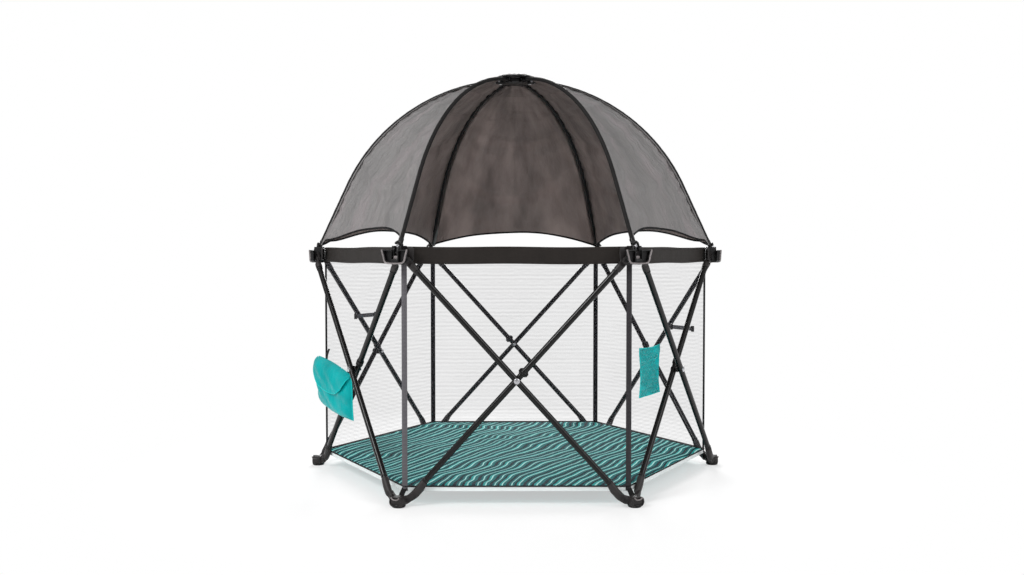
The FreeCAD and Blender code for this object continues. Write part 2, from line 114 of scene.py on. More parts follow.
class Shader:
    """A Principled material with small helpers for its procedural detail."""

    def __init__(self, name, roughness, **settings):
        self.material = bpy.data.materials.new(name)
        self.material.use_nodes = True
        self.nodes, self.links = self.material.node_tree.nodes, self.material.node_tree.links
        self.body = self.nodes["Principled BSDF"]
        self.body.inputs["Roughness"].default_value = roughness
        for socket, value in settings.items():
            self.body.inputs[socket.replace("_", " ")].default_value = value
        self.height = None

    def add(self, kind, **settings):
        node = self.nodes.new(kind)
        for key, value in settings.items():
            if key in node.inputs:
                node.inputs[key].default_value = value
            else:
                setattr(node, key, value)
        return node

    def link(self, source, target):
        self.links.new(source, target)
        return source

    def place(self, kind="Object", scale=(1, 1, 1), turn=0.0):
        """Coordinates in metres, from the object or its UV map, scaled and turned about Z."""
        coordinates = self.add("ShaderNodeTexCoord")
        mapping = self.add("ShaderNodeMapping")
        mapping.inputs["Scale"].default_value = scale
        mapping.inputs["Rotation"].default_value = (0, 0, turn)
        self.link(coordinates.outputs[kind], mapping.inputs["Vector"])
        return mapping.outputs["Vector"]

    def noise(self, vector, scale, detail=3.0, roughness=0.5):
        node = self.add("ShaderNodeTexNoise", Scale=scale, Detail=detail, Roughness=roughness)
        self.link(vector, node.inputs["Vector"])
        return node.outputs["Fac"]

    def wave(self, vector, scale, direction="X", distortion=0.0, detail=0.0, detail_scale=1.0):
        node = self.add("ShaderNodeTexWave", Scale=scale, Distortion=distortion, Detail=detail)
        node.inputs["Detail Scale"].default_value = detail_scale
        node.bands_direction = direction
        self.link(vector, node.inputs["Vector"])
        return node.outputs["Fac"]

    def math(self, operation, first, second):
        node = self.add("ShaderNodeMath", operation=operation)
        for socket, value in zip(node.inputs, (first, second)):
            if isinstance(value, (int, float)):
                socket.default_value = value
            else:
                self.link(value, socket)
        return node.outputs["Value"]

    def ramp(self, factor, stops, constant=False):
        node = self.add("ShaderNodeValToRGB")
        ramp = node.color_ramp
        ramp.interpolation = "CONSTANT" if constant else "LINEAR"
        while len(ramp.elements) < len(stops):
            ramp.elements.new(0.5)
        for element, (position, colour) in zip(ramp.elements, stops):
            element.position, element.color = position, colour
        self.link(factor, node.inputs["Fac"])
        return node.outputs["Color"]

    def colour(self, source):
        self.link(source, self.body.inputs["Base Color"])
        return self

    def rough(self, factor, low, high):
        node = self.add("ShaderNodeMapRange")
        node.inputs["To Min"].default_value, node.inputs["To Max"].default_value = low, high
        self.link(factor, node.inputs["Value"])
        self.link(node.outputs["Result"], self.body.inputs["Roughness"])
        return self

    def bump(self, height, strength, distance):
        node = self.add("ShaderNodeBump", Strength=strength, Distance=distance)
        self.link(height, node.inputs["Height"])
        if self.height is not None:
            self.link(self.height, node.inputs["Normal"])
        self.height = self.link(node.outputs["Normal"], self.body.inputs["Normal"])
        return self


def shade(colour, factor):
    return (colour[0] * factor, colour[1] * factor, colour[2] * factor, 1.0)


def coated_steel():
    s = Shader("coated_steel", 0.34, Specular_IOR_Level=0.32)
    base = srgb(7, 6, 6)
    where = s.place()
    s.colour(s.ramp(s.noise(where, 22, 4), [(0.3, shade(base, 0.7)), (0.7, shade(base, 1.3))]))
    s.rough(s.noise(where, 60, 4), 0.2, 0.34)
    return s.bump(s.noise(where, 900, 2), 0.12, 0.0004).material


def moulded_plastic(name, base, low=0.38, high=0.55):
    s = Shader(name, 0.45, Specular_IOR_Level=0.32)
    where = s.place()
    s.colour(s.ramp(s.noise(where, 45, 4), [(0.3, shade(base, 0.8)), (0.72, shade(base, 1.25))]))
    s.rough(s.noise(where, 120, 3), low, high)
    return s.bump(s.noise(where, 1600, 2), 0.22, 0.0004).material


def bare_steel():
    s = Shader("rivet_steel", 0.3, Metallic=1.0)
    base = srgb(198, 198, 202)
    where = s.place()
    s.colour(s.ramp(s.noise(where, 160, 4), [(0.25, shade(base, 0.7)), (0.7, base)]))
    return s.rough(s.noise(where, 240, 3), 0.2, 0.42).material


def weave_height(s, where, threads):
    """Over-and-under threads: two waves across each other."""
    return s.math("MULTIPLY", s.wave(where, threads, "X"), s.wave(where, threads, "Y"))


def woven(name, base, roughness=(0.5, 0.7), spread=0.18, sheen=0.25, wrinkles=0.35, specular=0.22):
    """Cloth with a fine weave, cloudy colour and soft creases, in metres of its UV map."""
    s = Shader(name, 0.6, Sheen_Weight=sheen, Sheen_Roughness=0.45, Specular_IOR_Level=specular)
    where = s.place("UV")
    clouds = s.noise(where, 9, 5, 0.6)
    s.colour(s.ramp(clouds, [(0.3, shade(base, 1 - spread)), (0.7, shade(base, 1 + spread))]))
    s.rough(s.noise(where, 30, 3), *roughness)
    creases = s.noise(s.place("UV", (1, 0.35, 1)), 26, 5, 0.55)
    s.bump(creases, wrinkles, 0.006)
    return s.bump(weave_height(s, where, 260), 0.25, 0.0005).material


def satin_canopy(name, base, spread, through):
    """Light shade cloth that lets some light through: ripstop squares, long soft creases, and colour streaks
    that are painted crease shading, in the base colour and in the light let through.
    """
    s = Shader(name, 0.42, Sheen_Weight=0.08, Sheen_Roughness=0.35, Specular_IOR_Level=0.45)
    where = s.place("UV")
    # painted shade and light: these slanted streaks, lighter and darker, stand for the light and shade of the
    # cloth's creases
    streaks = s.noise(s.place("UV", (3, 1.1, 1), 0.3), 3.2, 4, 0.5)
    warm = (base[0] * 1.04, base[1] * 0.98, base[2], 1.0)
    s.colour(s.ramp(streaks, [(0.25, shade(base, 1 - spread)), (0.5, base),
                              (0.62, shade(warm, 1 + spread / 2)), (0.8, shade(base, 1 + spread))]))
    s.rough(s.noise(where, 18, 3), 0.34, 0.5)
    s.bump(s.noise(s.place("UV", (2.6, 0.8, 1), 0.6), 5, 5, 0.62), 0.9, 0.035)
    ripstop = s.math("MAXIMUM", s.wave(where, 38, "X"), s.wave(where, 38, "Y"))
    s.bump(s.math("POWER", ripstop, 12.0), 0.12, 0.0006)
    s.bump(weave_height(s, where, 300), 0.18, 0.0004)
    lit = s.add("ShaderNodeBsdfTranslucent")
    # painted shade and light: the translucent colour is mottled the same way, for the creases seen against
    # the light
    broad = s.noise(s.place("UV", (3.4, 1.3, 1), 0.75), 2.6, 5, 0.6)
    s.link(s.ramp(broad, [(0.32, shade(through, 0.72)), (0.5, through), (0.66, shade(through, 1.22))]),
           lit.inputs["Color"])
    mix = s.add("ShaderNodeMixShader")
    mix.inputs[0].default_value = 0.42
    s.link(s.body.outputs[0], mix.inputs[1])
    s.link(lit.outputs[0], mix.inputs[2])
    s.link(mix.outputs[0], s.nodes["Material Output"].inputs["Surface"])
    return s.material


def open_mesh():
    """Knitted netting seen as a thin veil: small cells in faint rows that bunch up here and there."""
    s = Shader("wall_netting", 0.8, Specular_IOR_Level=0.2)
    where = s.place("UV")
    cells = s.add("ShaderNodeTexVoronoi", Scale=300.0)
    cells.feature = "DISTANCE_TO_EDGE"
    s.link(where, cells.inputs["Vector"])
    s.colour(s.ramp(cells.outputs["Distance"], [(0.0, srgb(96, 94, 100)), (0.3, srgb(60, 58, 64))]))
    rows = s.wave(where, 26, "Y", 2.2, 3.0, 1.6)
    patches = s.noise(s.place("UV", (1, 1.6, 1)), 5, 4, 0.6)
    veil = s.math("MULTIPLY", s.math("MULTIPLY", rows, patches), 0.15)
    s.link(s.math("ADD", veil, 0.08), s.body.inputs["Alpha"])
    s.bump(s.wave(where, 14, "Y", 3.0, 2.0), 0.3, 0.004)
    return s.bump(cells.outputs["Distance"], 0.5, 0.001).material


def ribbed_webbing(name, base):
    s = Shader(name, 0.65, Specular_IOR_Level=0.2)
    where = s.place("UV")
    ribs = s.wave(where, 90, "Y")
    # painted shade: the colour follows the ribs, darker in the grooves between them and lighter on their tops
    s.colour(s.ramp(ribs, [(0.1, shade(base, 0.65)), (0.8, shade(base, 1.25))]))
    s.bump(s.wave(where, 240, "X"), 0.3, 0.0006)
    return s.bump(ribs, 0.5, 0.0012).material


def printed_mat():
    """Hand-drawn looking waves in greens and a pale mint, run slantwise over the mat."""
    s = Shader("printed_mat", 0.7, Specular_IOR_Level=0.02)
    slant = math.radians(-63)
    where = s.place("Object", (1, 1, 1), slant)
    split = s.add("ShaderNodeSeparateXYZ")
    s.link(where, split.inputs["Vector"])
    drift = s.noise(s.place("Object", (0.7, 1.5, 1), slant), 2.6, 2, 0.5)
    ripple = s.noise(s.place("Object", (1, 1.2, 1), slant), 7, 2, 0.4)
    sway = s.math("ADD", s.math("MULTIPLY", drift, 2.6), s.math("MULTIPLY", ripple, 0.5))
    rows = s.math("MULTIPLY", split.outputs["Y"], 22.0)
    rows = s.math("FRACT", s.math("ADD", rows, s.math("ADD", sway, 20.0)), 0.0)
    ink, teal, sea, mint = srgb(0, 38, 46), srgb(0, 106, 108), srgb(30, 160, 156), srgb(176, 230, 224)
    s.colour(s.ramp(rows, [(0.0, ink), (0.18, teal), (0.36, mint), (0.44, sea), (0.56, ink), (0.7, teal),
                           (0.82, mint), (0.88, teal)], constant=True))
    s.bump(s.noise(s.place("Object"), 9, 4, 0.55), 0.35, 0.012)
    return s.bump(weave_height(s, s.place("Object"), 260), 0.15, 0.0003).material


def studio_floor():
    """A pale floor that keeps shadows near the yard and fades to white away from it, for the camera only."""
    s = Shader("studio_floor", 0.9, Specular_IOR_Level=0.1)
    grain = s.noise(s.place(), 6, 2)
    s.colour(s.ramp(grain, [(0.0, (0.9, 0.9, 0.9, 1)), (1.0, (0.94, 0.94, 0.94, 1))]))
    path = s.add("ShaderNodeLightPath")
    glow = s.add("ShaderNodeEmission")
    glow.inputs["Color"].default_value = (1, 1, 1, 1)
    length = s.add("ShaderNodeVectorMath", operation="LENGTH")
    s.link(s.place(), length.inputs[0])
    fade = s.add("ShaderNodeMapRange")
    fade.interpolation_type = "SMOOTHSTEP"
    for socket, value in (("From Min", 0.55), ("From Max", 1.25), ("To Min", 0.5), ("To Max", 1.0)):
        fade.inputs[socket].default_value = value
    s.link(length.outputs["Value"], fade.inputs["Value"])
    mix = s.add("ShaderNodeMixShader")
    s.link(s.math("MULTIPLY", path.outputs["Is Camera Ray"], fade.outputs["Result"]), mix.inputs[0])
    s.link(s.body.outputs[0], mix.inputs[1])
    s.link(glow.outputs[0], mix.inputs[2])
    s.link(mix.outputs[0], s.nodes["Material Output"].inputs["Surface"])
    return s.material


STEEL = coated_steel()
PLASTIC = moulded_plastic("moulded_plastic", srgb(40, 37, 37))
BLACK_PLASTIC = moulded_plastic("black_plastic", srgb(17, 16, 17), 0.28, 0.45)
GREY_PLASTIC = moulded_plastic("grey_plastic", srgb(128, 122, 122))
RIVET = bare_steel()
ROD = moulded_plastic("pole_rod", srgb(14, 14, 15), 0.22, 0.34)
CANOPY_OUT = satin_canopy("canopy_outside", srgb(163, 161, 161), 0.15, srgb(158, 151, 149))
# painted shade: the inside skin's base is far darker than the outside skin's, for the canopy's shaded
# underside
CANOPY_IN = satin_canopy("canopy_inside", srgb(62, 57, 57), 0.3, srgb(212, 200, 196))
BLACK_CLOTH = woven("black_cloth", srgb(17, 15, 15), sheen=0.04, spread=0.3)
RIM_CLOTH = woven("rim_cloth", srgb(33, 28, 25), sheen=0.05, spread=0.3)
BLACK_TAPE = ribbed_webbing("black_tape", srgb(15, 14, 15))
GREY_WEBBING = ribbed_webbing("grey_webbing", srgb(94, 92, 96))
DARK_WEBBING = ribbed_webbing("dark_webbing", srgb(50, 48, 51))
THREAD = ribbed_webbing("thread", srgb(52, 48, 48))
NETTING = open_mesh()
MAT_PRINT = printed_mat()
HEM_WHITE = woven("wall_hem", srgb(232, 238, 238), spread=0.06)
# painted light: the underside and the mat's edge are teal, for teal light let through the mat, and they tint
# the floor's shade under it
MAT_BACK = woven("mat_underside", srgb(96, 190, 190), spread=0.06)
TEAL = woven("teal_nylon", srgb(0, 162, 163), (0.3, 0.5), 0.2, 0.0, 1.0, 0.1)
# painted highlight: the piping is a paler teal than the nylon, for the light catching the pouch's and
# pocket's edges
TEAL_EDGE = woven("teal_piping", srgb(20, 190, 188), (0.3, 0.45), 0.1, 0.0, 0.35, 0.1)


# ---------------------------------------------------------------- mesh building

def make_mesh(name, vertices, faces, materials, slots=None, uvs=None, smooth=True, sharp=40):
    mesh = bpy.data.meshes.new(name)
    mesh.from_pydata([tuple(v) for v in vertices], [], [tuple(f) for f in faces])
    for material in materials if isinstance(materials, (list, tuple)) else [materials]:
        mesh.materials.append(material)
    if slots is not None:
        mesh.polygons.foreach_set("material_index", slots)
    layer = mesh.uv_layers.new(name="cloth")
    if uvs is None:
        uvs = [(v[0] + v[1], v[2]) for v in vertices]
    for loop in mesh.loops:
        layer.data[loop.index].uv = uvs[loop.vertex_index]
    if smooth:
        mesh.polygons.foreach_set("use_smooth", [True] * len(mesh.polygons))
        mesh.set_sharp_from_angle(angle=math.radians(sharp))
    mesh.validate()
    mesh.update()
    return mesh


def rings_mesh(name, rings, materials, caps=True, uv_scale=1.0):
    """A skin over rings of points, each ring with the same count, closed round."""
    rings = np.array(rings)
    count, around = rings.shape[:2]
    faces = []
    for i in range(count - 1):
        for j in range(around):
            k = (j + 1) % around
            faces.append((i * around + j, i * around + k, (i + 1) * around + k, (i + 1) * around + j))
    if caps:
        faces.append(tuple(reversed(range(around))))
        faces.append(tuple(range((count - 1) * around, count * around)))
    steps = np.linalg.norm(np.diff(rings.mean(axis=1), axis=0), axis=1)
    run = np.concatenate([[0], np.cumsum(steps)])
    girth = np.linalg.norm(rings[count // 2] - np.roll(rings[count // 2], 1, axis=0), axis=1).sum()
    uvs = [(girth * j / around * uv_scale, run[i] * uv_scale) for i in range(count) for j in range(around)]
    return make_mesh(name, rings.reshape(-1, 3), faces, materials, uvs=uvs)


def oval(half_a, half_b, count=28, power=2.0):
    """Points round an oval; a power above 2 squares it."""
    turn = np.linspace(0, 2 * math.pi, count, endpoint=False)
    c, s = np.cos(turn), np.sin(turn)
    return np.stack([half_a * np.sign(c) * np.abs(c) ** (2 / power),
                     half_b * np.sign(s) * np.abs(s) ** (2 / power)], axis=1)


def sweep(name, points, sections, across, materials, caps=True):
    """Carries sections along points. across is the fixed direction of the section's second axis."""
    points = np.array(points, float)
    tangents = np.gradient(points, axis=0)
    tangents /= np.linalg.norm(tangents, axis=1)[:, None]
    across = np.array(across, float)
    rings = []
    for index, (point, tangent) in enumerate(zip(points, tangents)):
        side = across - tangent * np.dot(across, tangent)
        side /= np.linalg.norm(side)
        lift = np.cross(side, tangent)
        section = sections[index] if isinstance(sections, list) else sections
        rings.append(point + section[:, :1] * lift + section[:, 1:] * side)
    return rings_mesh(name, rings, materials, caps)


NO_RADIUS = 1e-5


def lathe(name, origin, axis, profile, materials, segments=36):
    """Turns a profile of (distance along the axis, radius) about the axis."""
    axis = np.array(axis, float) / np.linalg.norm(axis)
    first = np.cross(axis, [0, 0, 1] if abs(axis[2]) < 0.9 else [1, 0, 0])
    first /= np.linalg.norm(first)
    second = np.cross(axis, first)
    turn = np.linspace(0, 2 * math.pi, segments, endpoint=False)
    circle = np.cos(turn)[:, None] * first + np.sin(turn)[:, None] * second
    rings = [np.array(origin) + d * axis + max(r, NO_RADIUS) * circle for d, r in profile]
    return rings_mesh(name, rings, materials)


def rounded(profile, radius, steps=4):
    """The outline with each corner rounded, for closed outlines of 2-D points."""
    points, out = [np.array(p, float) for p in profile], []
    for i, point in enumerate(points):
        before, after = points[i - 1] - point, points[(i + 1) % len(points)] - point
        reach = min(radius, 0.45 * np.linalg.norm(before), 0.45 * np.linalg.norm(after))
        start = point + before / np.linalg.norm(before) * reach
        end = point + after / np.linalg.norm(after) * reach
        for t in np.linspace(0, 1, steps + 1):
            out.append((1 - t) ** 2 * start + 2 * t * (1 - t) * point + t * t * end)
    return np.array(out)


def mirrored(half, between=()):
    """A profile made symmetric about 0 in its first number."""
    return [(-a, b) for a, b in reversed(half)] + [*between, *half]


def rectangle(half_a, half_b):
    return [(-half_a, -half_b), (half_a, -half_b), (half_a, half_b), (-half_a, half_b)]


def random_waves(rng, count, first, second):
    """Wave numbers in two directions and a phase, for sums of sines."""
    return [(rng.uniform(*first), rng.uniform(*second), rng.uniform(0, 6.28)) for _ in range(count)]


def plate(name, outline, origin, first, second, depth, materials, bevel=0.0012, recess=None):
    """An outline in two directions, given a thickness along their normal, with soft edges.
    recess is (inset, depth) of a hollow in the face at the normal's end."""
    origin, first, second = (np.array(v, float) for v in (origin, first, second))
    normal = np.cross(first, second)
    outline = np.array(outline, float)
    middle = outline.mean(axis=0)

    def shrunk(amount):
        before, after = np.roll(outline, 1, axis=0), np.roll(outline, -1, axis=0)
        edge = after - before
        edge /= np.linalg.norm(edge, axis=1)[:, None]
        inward = np.stack([-edge[:, 1], edge[:, 0]], axis=1)
        if np.sum(inward * (middle - outline)) < 0:
            inward = -inward
        return outline + inward * amount

    def ring(amount, height):
        flat = shrunk(amount)
        return origin + flat[:, :1] * first + flat[:, 1:] * second + height * normal

    rings = [ring(bevel, 0), ring(bevel * 0.3, bevel * 0.3), ring(0, bevel), ring(0, depth - bevel),
             ring(bevel * 0.3, depth - bevel * 0.3), ring(bevel, depth)]
    if recess:
        inset, deep = recess
        rings += [ring(inset - bevel / 2, depth), ring(inset, depth - bevel / 2), ring(inset, depth - deep)]
    return rings_mesh(name, rings, materials)


def grid_normals(grid):
    normals = np.cross(np.gradient(grid, axis=1), np.gradient(grid, axis=0))
    return normals / np.linalg.norm(normals, axis=2)[:, :, None]


def grid_quads(rows, columns):
    return [(i * columns + j, i * columns + j + 1, (i + 1) * columns + j + 1, (i + 1) * columns + j)
            for i in range(rows - 1) for j in range(columns - 1)]


def two_skins(name, front, back, faces, materials, slots, uvs, sharp):
    """Joins two skins of the same faces at their edge; slots are those of the front and of the rest."""
    rows, columns = front.shape[:2]
    total = rows * columns
    edge = [j for j in range(columns)] + [i * columns + columns - 1 for i in range(1, rows)]
    edge += [(rows - 1) * columns + j for j in reversed(range(columns - 1))]
    edge += [i * columns for i in reversed(range(1, rows - 1))]
    rim = [(edge[i - 1], total + edge[i - 1], total + edge[i], edge[i]) for i in range(len(edge))]
    back_faces = [tuple(total + v for v in reversed(face)) for face in faces]
    slots = [slots[0]] * len(faces) + [slots[1]] * (len(faces) + len(rim))
    points = np.concatenate([front.reshape(-1, 3), back.reshape(-1, 3)])
    return make_mesh(name, points, faces + back_faces + rim, materials, slots, uvs, sharp=sharp)


def sheet_mesh(name, grid, thickness, materials, size, uv_start=(0.0, 0.0), normals=None):
    """A thin cloth over a grid of points, its first material on the normal's side; one skin if it has no
    thickness."""
    grid = np.array(grid, float)
    rows, columns = grid.shape[:2]
    normals = grid_normals(grid) if normals is None else normals
    vs, us = np.meshgrid(np.linspace(0, size[1], rows), np.linspace(0, size[0], columns), indexing="ij")
    uvs = np.stack([us + uv_start[0], vs + uv_start[1]], axis=2).reshape(-1, 2)
    quads = grid_quads(rows, columns)
    if thickness <= 0:
        return make_mesh(name, grid.reshape(-1, 3), quads, materials, uvs=uvs, sharp=180)
    faces = [corners for a, b, c, d in quads for corners in ((a, b, c), (a, c, d))]  # both skins bend alike
    front, back = grid + normals * thickness / 2, grid - normals * thickness / 2
    last = len(materials) - 1 if isinstance(materials, (list, tuple)) else 0
    return two_skins(name, front, back, faces, materials, (0, last), np.concatenate([uvs, uvs]), 60)


def ribbon(name, line, across, width, thickness, materials):
    """Flat webbing along a line; across is its width direction at each point, or one for all."""
    line = np.array(line, float)
    across = np.broadcast_to(np.array(across, float), line.shape)
    across = across / np.linalg.norm(across, axis=1)[:, None]
    steps = np.linspace(-0.5, 0.5, 5)
    grid = line[:, None, :] + across[:, None, :] * (steps * width)[None, :, None]
    length = np.linalg.norm(np.diff(line, axis=0), axis=1).sum()
    return sheet_mesh(name, grid, thickness, materials, (width, length))


# ---------------------------------------------------------------- putting pieces in place

def put(name, mesh, body, angle=0.0, stands_for=()):
    piece = bpy.data.objects.new(name, mesh)
    bpy.context.scene.collection.objects.link(piece)
    piece.matrix_world = Matrix.Rotation(math.radians(angle), 4, "Z")
    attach(piece, body)
    if stands_for:
        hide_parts(*stands_for)
    return piece


def put_six(name, mesh, body, replaced, start):
    for k in range(SIDES):
        stands_for = (f"{replaced}_{k}",) if replaced else ()
        put(f"{body}_{k}_{name}", mesh, f"{body}_{k}", start + STEP * k, stands_for)


def put_at_corners(name, mesh, body, replaced=None):
    put_six(name, mesh, body, replaced, FIRST_CORNER)


def put_on_sides(name, mesh, body, replaced=None):
    put_six(name, mesh, body, replaced, 0.0)


# ---------------------------------------------------------------- side frame bars

def bar_ends(kind):
    """The low and high pin centres of side 0's bar."""
    half_run = SIDE / 2 - PIN_INSET
    lean = 1 if kind == "inner" else -1
    y = -(APOTHEM - lean * PLANE_OFFSET)
    return np.array([-lean * half_run, y, FOOT_PIN_Z]), np.array([lean * half_run, y, TOP_PIN_Z])


EYE_END = 0.02
EYE_NECK = 0.011


def end_fitting(name, pin_at, towards, droop, reach):
    """A moulded end: an eye on the pin that fills out into a sleeve round the tube, bowed like an elbow."""
    eye = [(-0.0093, 0.001, 1.0), (-0.0086, 0.0042, 1.0), (-0.0068, 0.0068, 1.0), (-0.004, 0.0086, 1.0),
           (0, 0.0094, 1.0), (0.006, 0.0095, 1.02), (0.0105, 0.0095, 1.2), (0.013, 0.0096, 2.2),
           (0.016, 0.0097, 3.3), (EYE_END, 0.0097, 3.75)]
    sleeve = [(0.5, 0.0097, 3.85), (0.97, 0.0096, 3.8), (1.0, 0.0092, 3.65), (1.005, 0.0084, 3.3)]
    below = np.cross(OUTWARD, towards)
    below = below if below[2] < 0 else -below
    points, sections = [], []
    sleeve = [(EYE_END + share * (reach - EYE_END), width, swell) for share, width, swell in sleeve]
    for distance, half_width, swell in eye + sleeve:
        sag = droop * math.sin(math.pi * min(max(distance, 0) / reach, 1))
        points.append(pin_at + towards * distance + below * sag)
        power = 3.0 if distance < EYE_NECK else 2.05
        sections.append(oval(half_width + sag * 0.35, LUG_HALF * swell, 32, power))
    return sweep(name, points, sections, OUTWARD, PLASTIC)


def build_bars():
    for kind in ("outer", "inner"):
        low, high = bar_ends(kind)
        axis = (high - low) / np.linalg.norm(high - low)
        start, end = low + axis * (FOOT_REACH - SLEEVE_LAP), high - axis * (TOP_REACH - SLEEVE_LAP)
        stations = np.linspace(0, 1, 9)[:, None]
        body = f"{kind}_tube"
        round_tube = oval(TUBE_RADIUS, TUBE_RADIUS, 32)
        tube = sweep(body, start + (end - start) * stations, round_tube, OUTWARD, STEEL)
        put_on_sides("tube", tube, body, body)
        ends = (("foot", "low", low, axis, 0.0045, FOOT_REACH), ("top", "high", high, -axis, 0.0, TOP_REACH))
        for label, _, at, way, droop, reach in ends:
            fitting = end_fitting(f"{kind}_{label}_fitting", at, way, droop, reach)
            put_on_sides(f"{label}_fitting", fitting, body)
        ring = [(0.003, 0.0078), (0.0033, 0.0088), (0.0042, 0.0092), (0.0068, 0.0092), (0.0077, 0.0088),
                (0.008, 0.0078)]
        for _, label, at, way, _, reach in ends:
            band = lathe(f"{kind}_{label}_band", at, way, [(reach + d, r) for d, r in ring], BLACK_PLASTIC)
            put_on_sides(f"{label}_band", band, body)
    build_rivets()


def build_rivets():
    """The middle rivet of each crossed pair, with its spacer and tail."""
    centre = pin("cross_pivot_0").copy()
    centre[1] = -APOTHEM
    head = [(0.0172, 0.0), (0.0172, 0.0078), (0.0182, 0.0078), (0.0188, 0.0064), (0.0196, 0.0052),
            (0.02, 0.0034), (0.0201, 0.0)]
    put_on_sides("rivet", lathe("rivet", centre, OUTWARD, head, RIVET), "outer_tube")
    spacer = mirrored([(0.0022, 0.0095), (0.0032, 0.0085), (0.0032, 0.0035)])
    put_on_sides("rivet_spacer", lathe("rivet_spacer", centre, OUTWARD, spacer, BLACK_PLASTIC), "outer_tube")
    tail = [(-0.0178, 0.0), (-0.0178, 0.0055), (-0.0192, 0.0055), (-0.0194, 0.003), (-0.0194, 0.0)]
    put_on_sides("rivet_tail", lathe("rivet_tail", centre, OUTWARD, tail, RIVET), "outer_tube")


def build_lock_collars():
    low, high = bar_ends("inner")
    axis = (high - low) / np.linalg.norm(high - low)
    centre = (low + high) / 2
    up_plane = np.cross(axis, OUTWARD)
    ring = [(0.018, 0.0082), (0.018, 0.0098), (0.019, 0.0104), (0.0215, 0.0104), (0.0222, 0.0098),
            (0.0232, 0.0098), (0.024, 0.0104), (0.028, 0.0104), (0.0288, 0.0098), (0.0298, 0.0098),
            (0.0305, 0.0104), (0.033, 0.0104), (0.034, 0.0098), (0.034, 0.0082)]
    body = "lock_collar"
    put_on_sides("ring", lathe("collar_ring", centre, axis, ring, BLACK_PLASTIC), body, body)
    tab = rounded([(-0.006, 0.0088), (0.006, 0.0088), (0.0052, 0.0135), (-0.0052, 0.0135)], 0.0018, 4)
    middle, tab_width = 0.026, 0.006
    start = centre + axis * middle - np.cross(axis, up_plane) * (tab_width / 2)
    for label, side in (("upper", 1), ("lower", -1)):
        mesh = plate(f"collar_{label}_tab", tab * np.array([1, side]), start, axis, up_plane, tab_width,
                     BLACK_PLASTIC, 0.001)
        put_on_sides(f"{label}_tab", mesh, body)


# ---------------------------------------------------------------- hubs and feet, in a corner's own frame

RADIAL, TANGENT = unit(0), unit(90)


def corner_point(x=0.0, y=0.0, z=0.0):
    return np.array([SIDE + x, y, z])


def pin_mesh(name, way, facing, z):
    """The pivot pin of one ear: a shouldered black pin with a domed head."""
    along, across = unit(way), unit(way + 90) * facing
    start = corner_point(0, 0, z) + along * PIN_INSET + across * EAR_FACE
    profile = [(-0.009, 0.0), (-0.009, 0.0045), (-0.0083, 0.0052), (-0.0078, 0.0052), (-0.0078, 0.003),
               (0.0056, 0.003), (0.0056, 0.0055), (0.0066, 0.0055), (0.0074, 0.0042), (0.0076, 0.0)]
    return lathe(name, start, across, profile, BLACK_PLASTIC, 24)


def ear_mesh(name, way, facing, outline):
    """A side cheek of a casting in its bar's plane; the outline runs in the bar's direction and up."""
    along, across = unit(way), unit(way + 90)
    low = EAR_FACE - EAR_THICKNESS if facing > 0 else -EAR_FACE
    origin = corner_point() + across * low
    if np.dot(np.cross(along, UP), across) < 0:
        origin = origin + across * EAR_THICKNESS
    return plate(name, rounded(outline, 0.003, 3), origin, along, UP, EAR_THICKNESS, PLASTIC, 0.0014)


def arc_points(centre, radius, start, end, count=10):
    turns = np.radians(np.linspace(start, end, count))
    return [(centre[0] + radius * math.cos(a), centre[1] + radius * math.sin(a)) for a in turns]


def put_ears(body, facing, outline, pin_z):
    """The two cheeks of each casting with their pivot pins."""
    for label, way in (("left", 120), ("right", -120)):
        put_at_corners(f"ear_{label}", ear_mesh(f"{body}_ear_{label}", way, facing, outline), body)
        put_at_corners(f"pin_{label}", pin_mesh(f"{body}_pin_{label}", way, facing, pin_z), body)


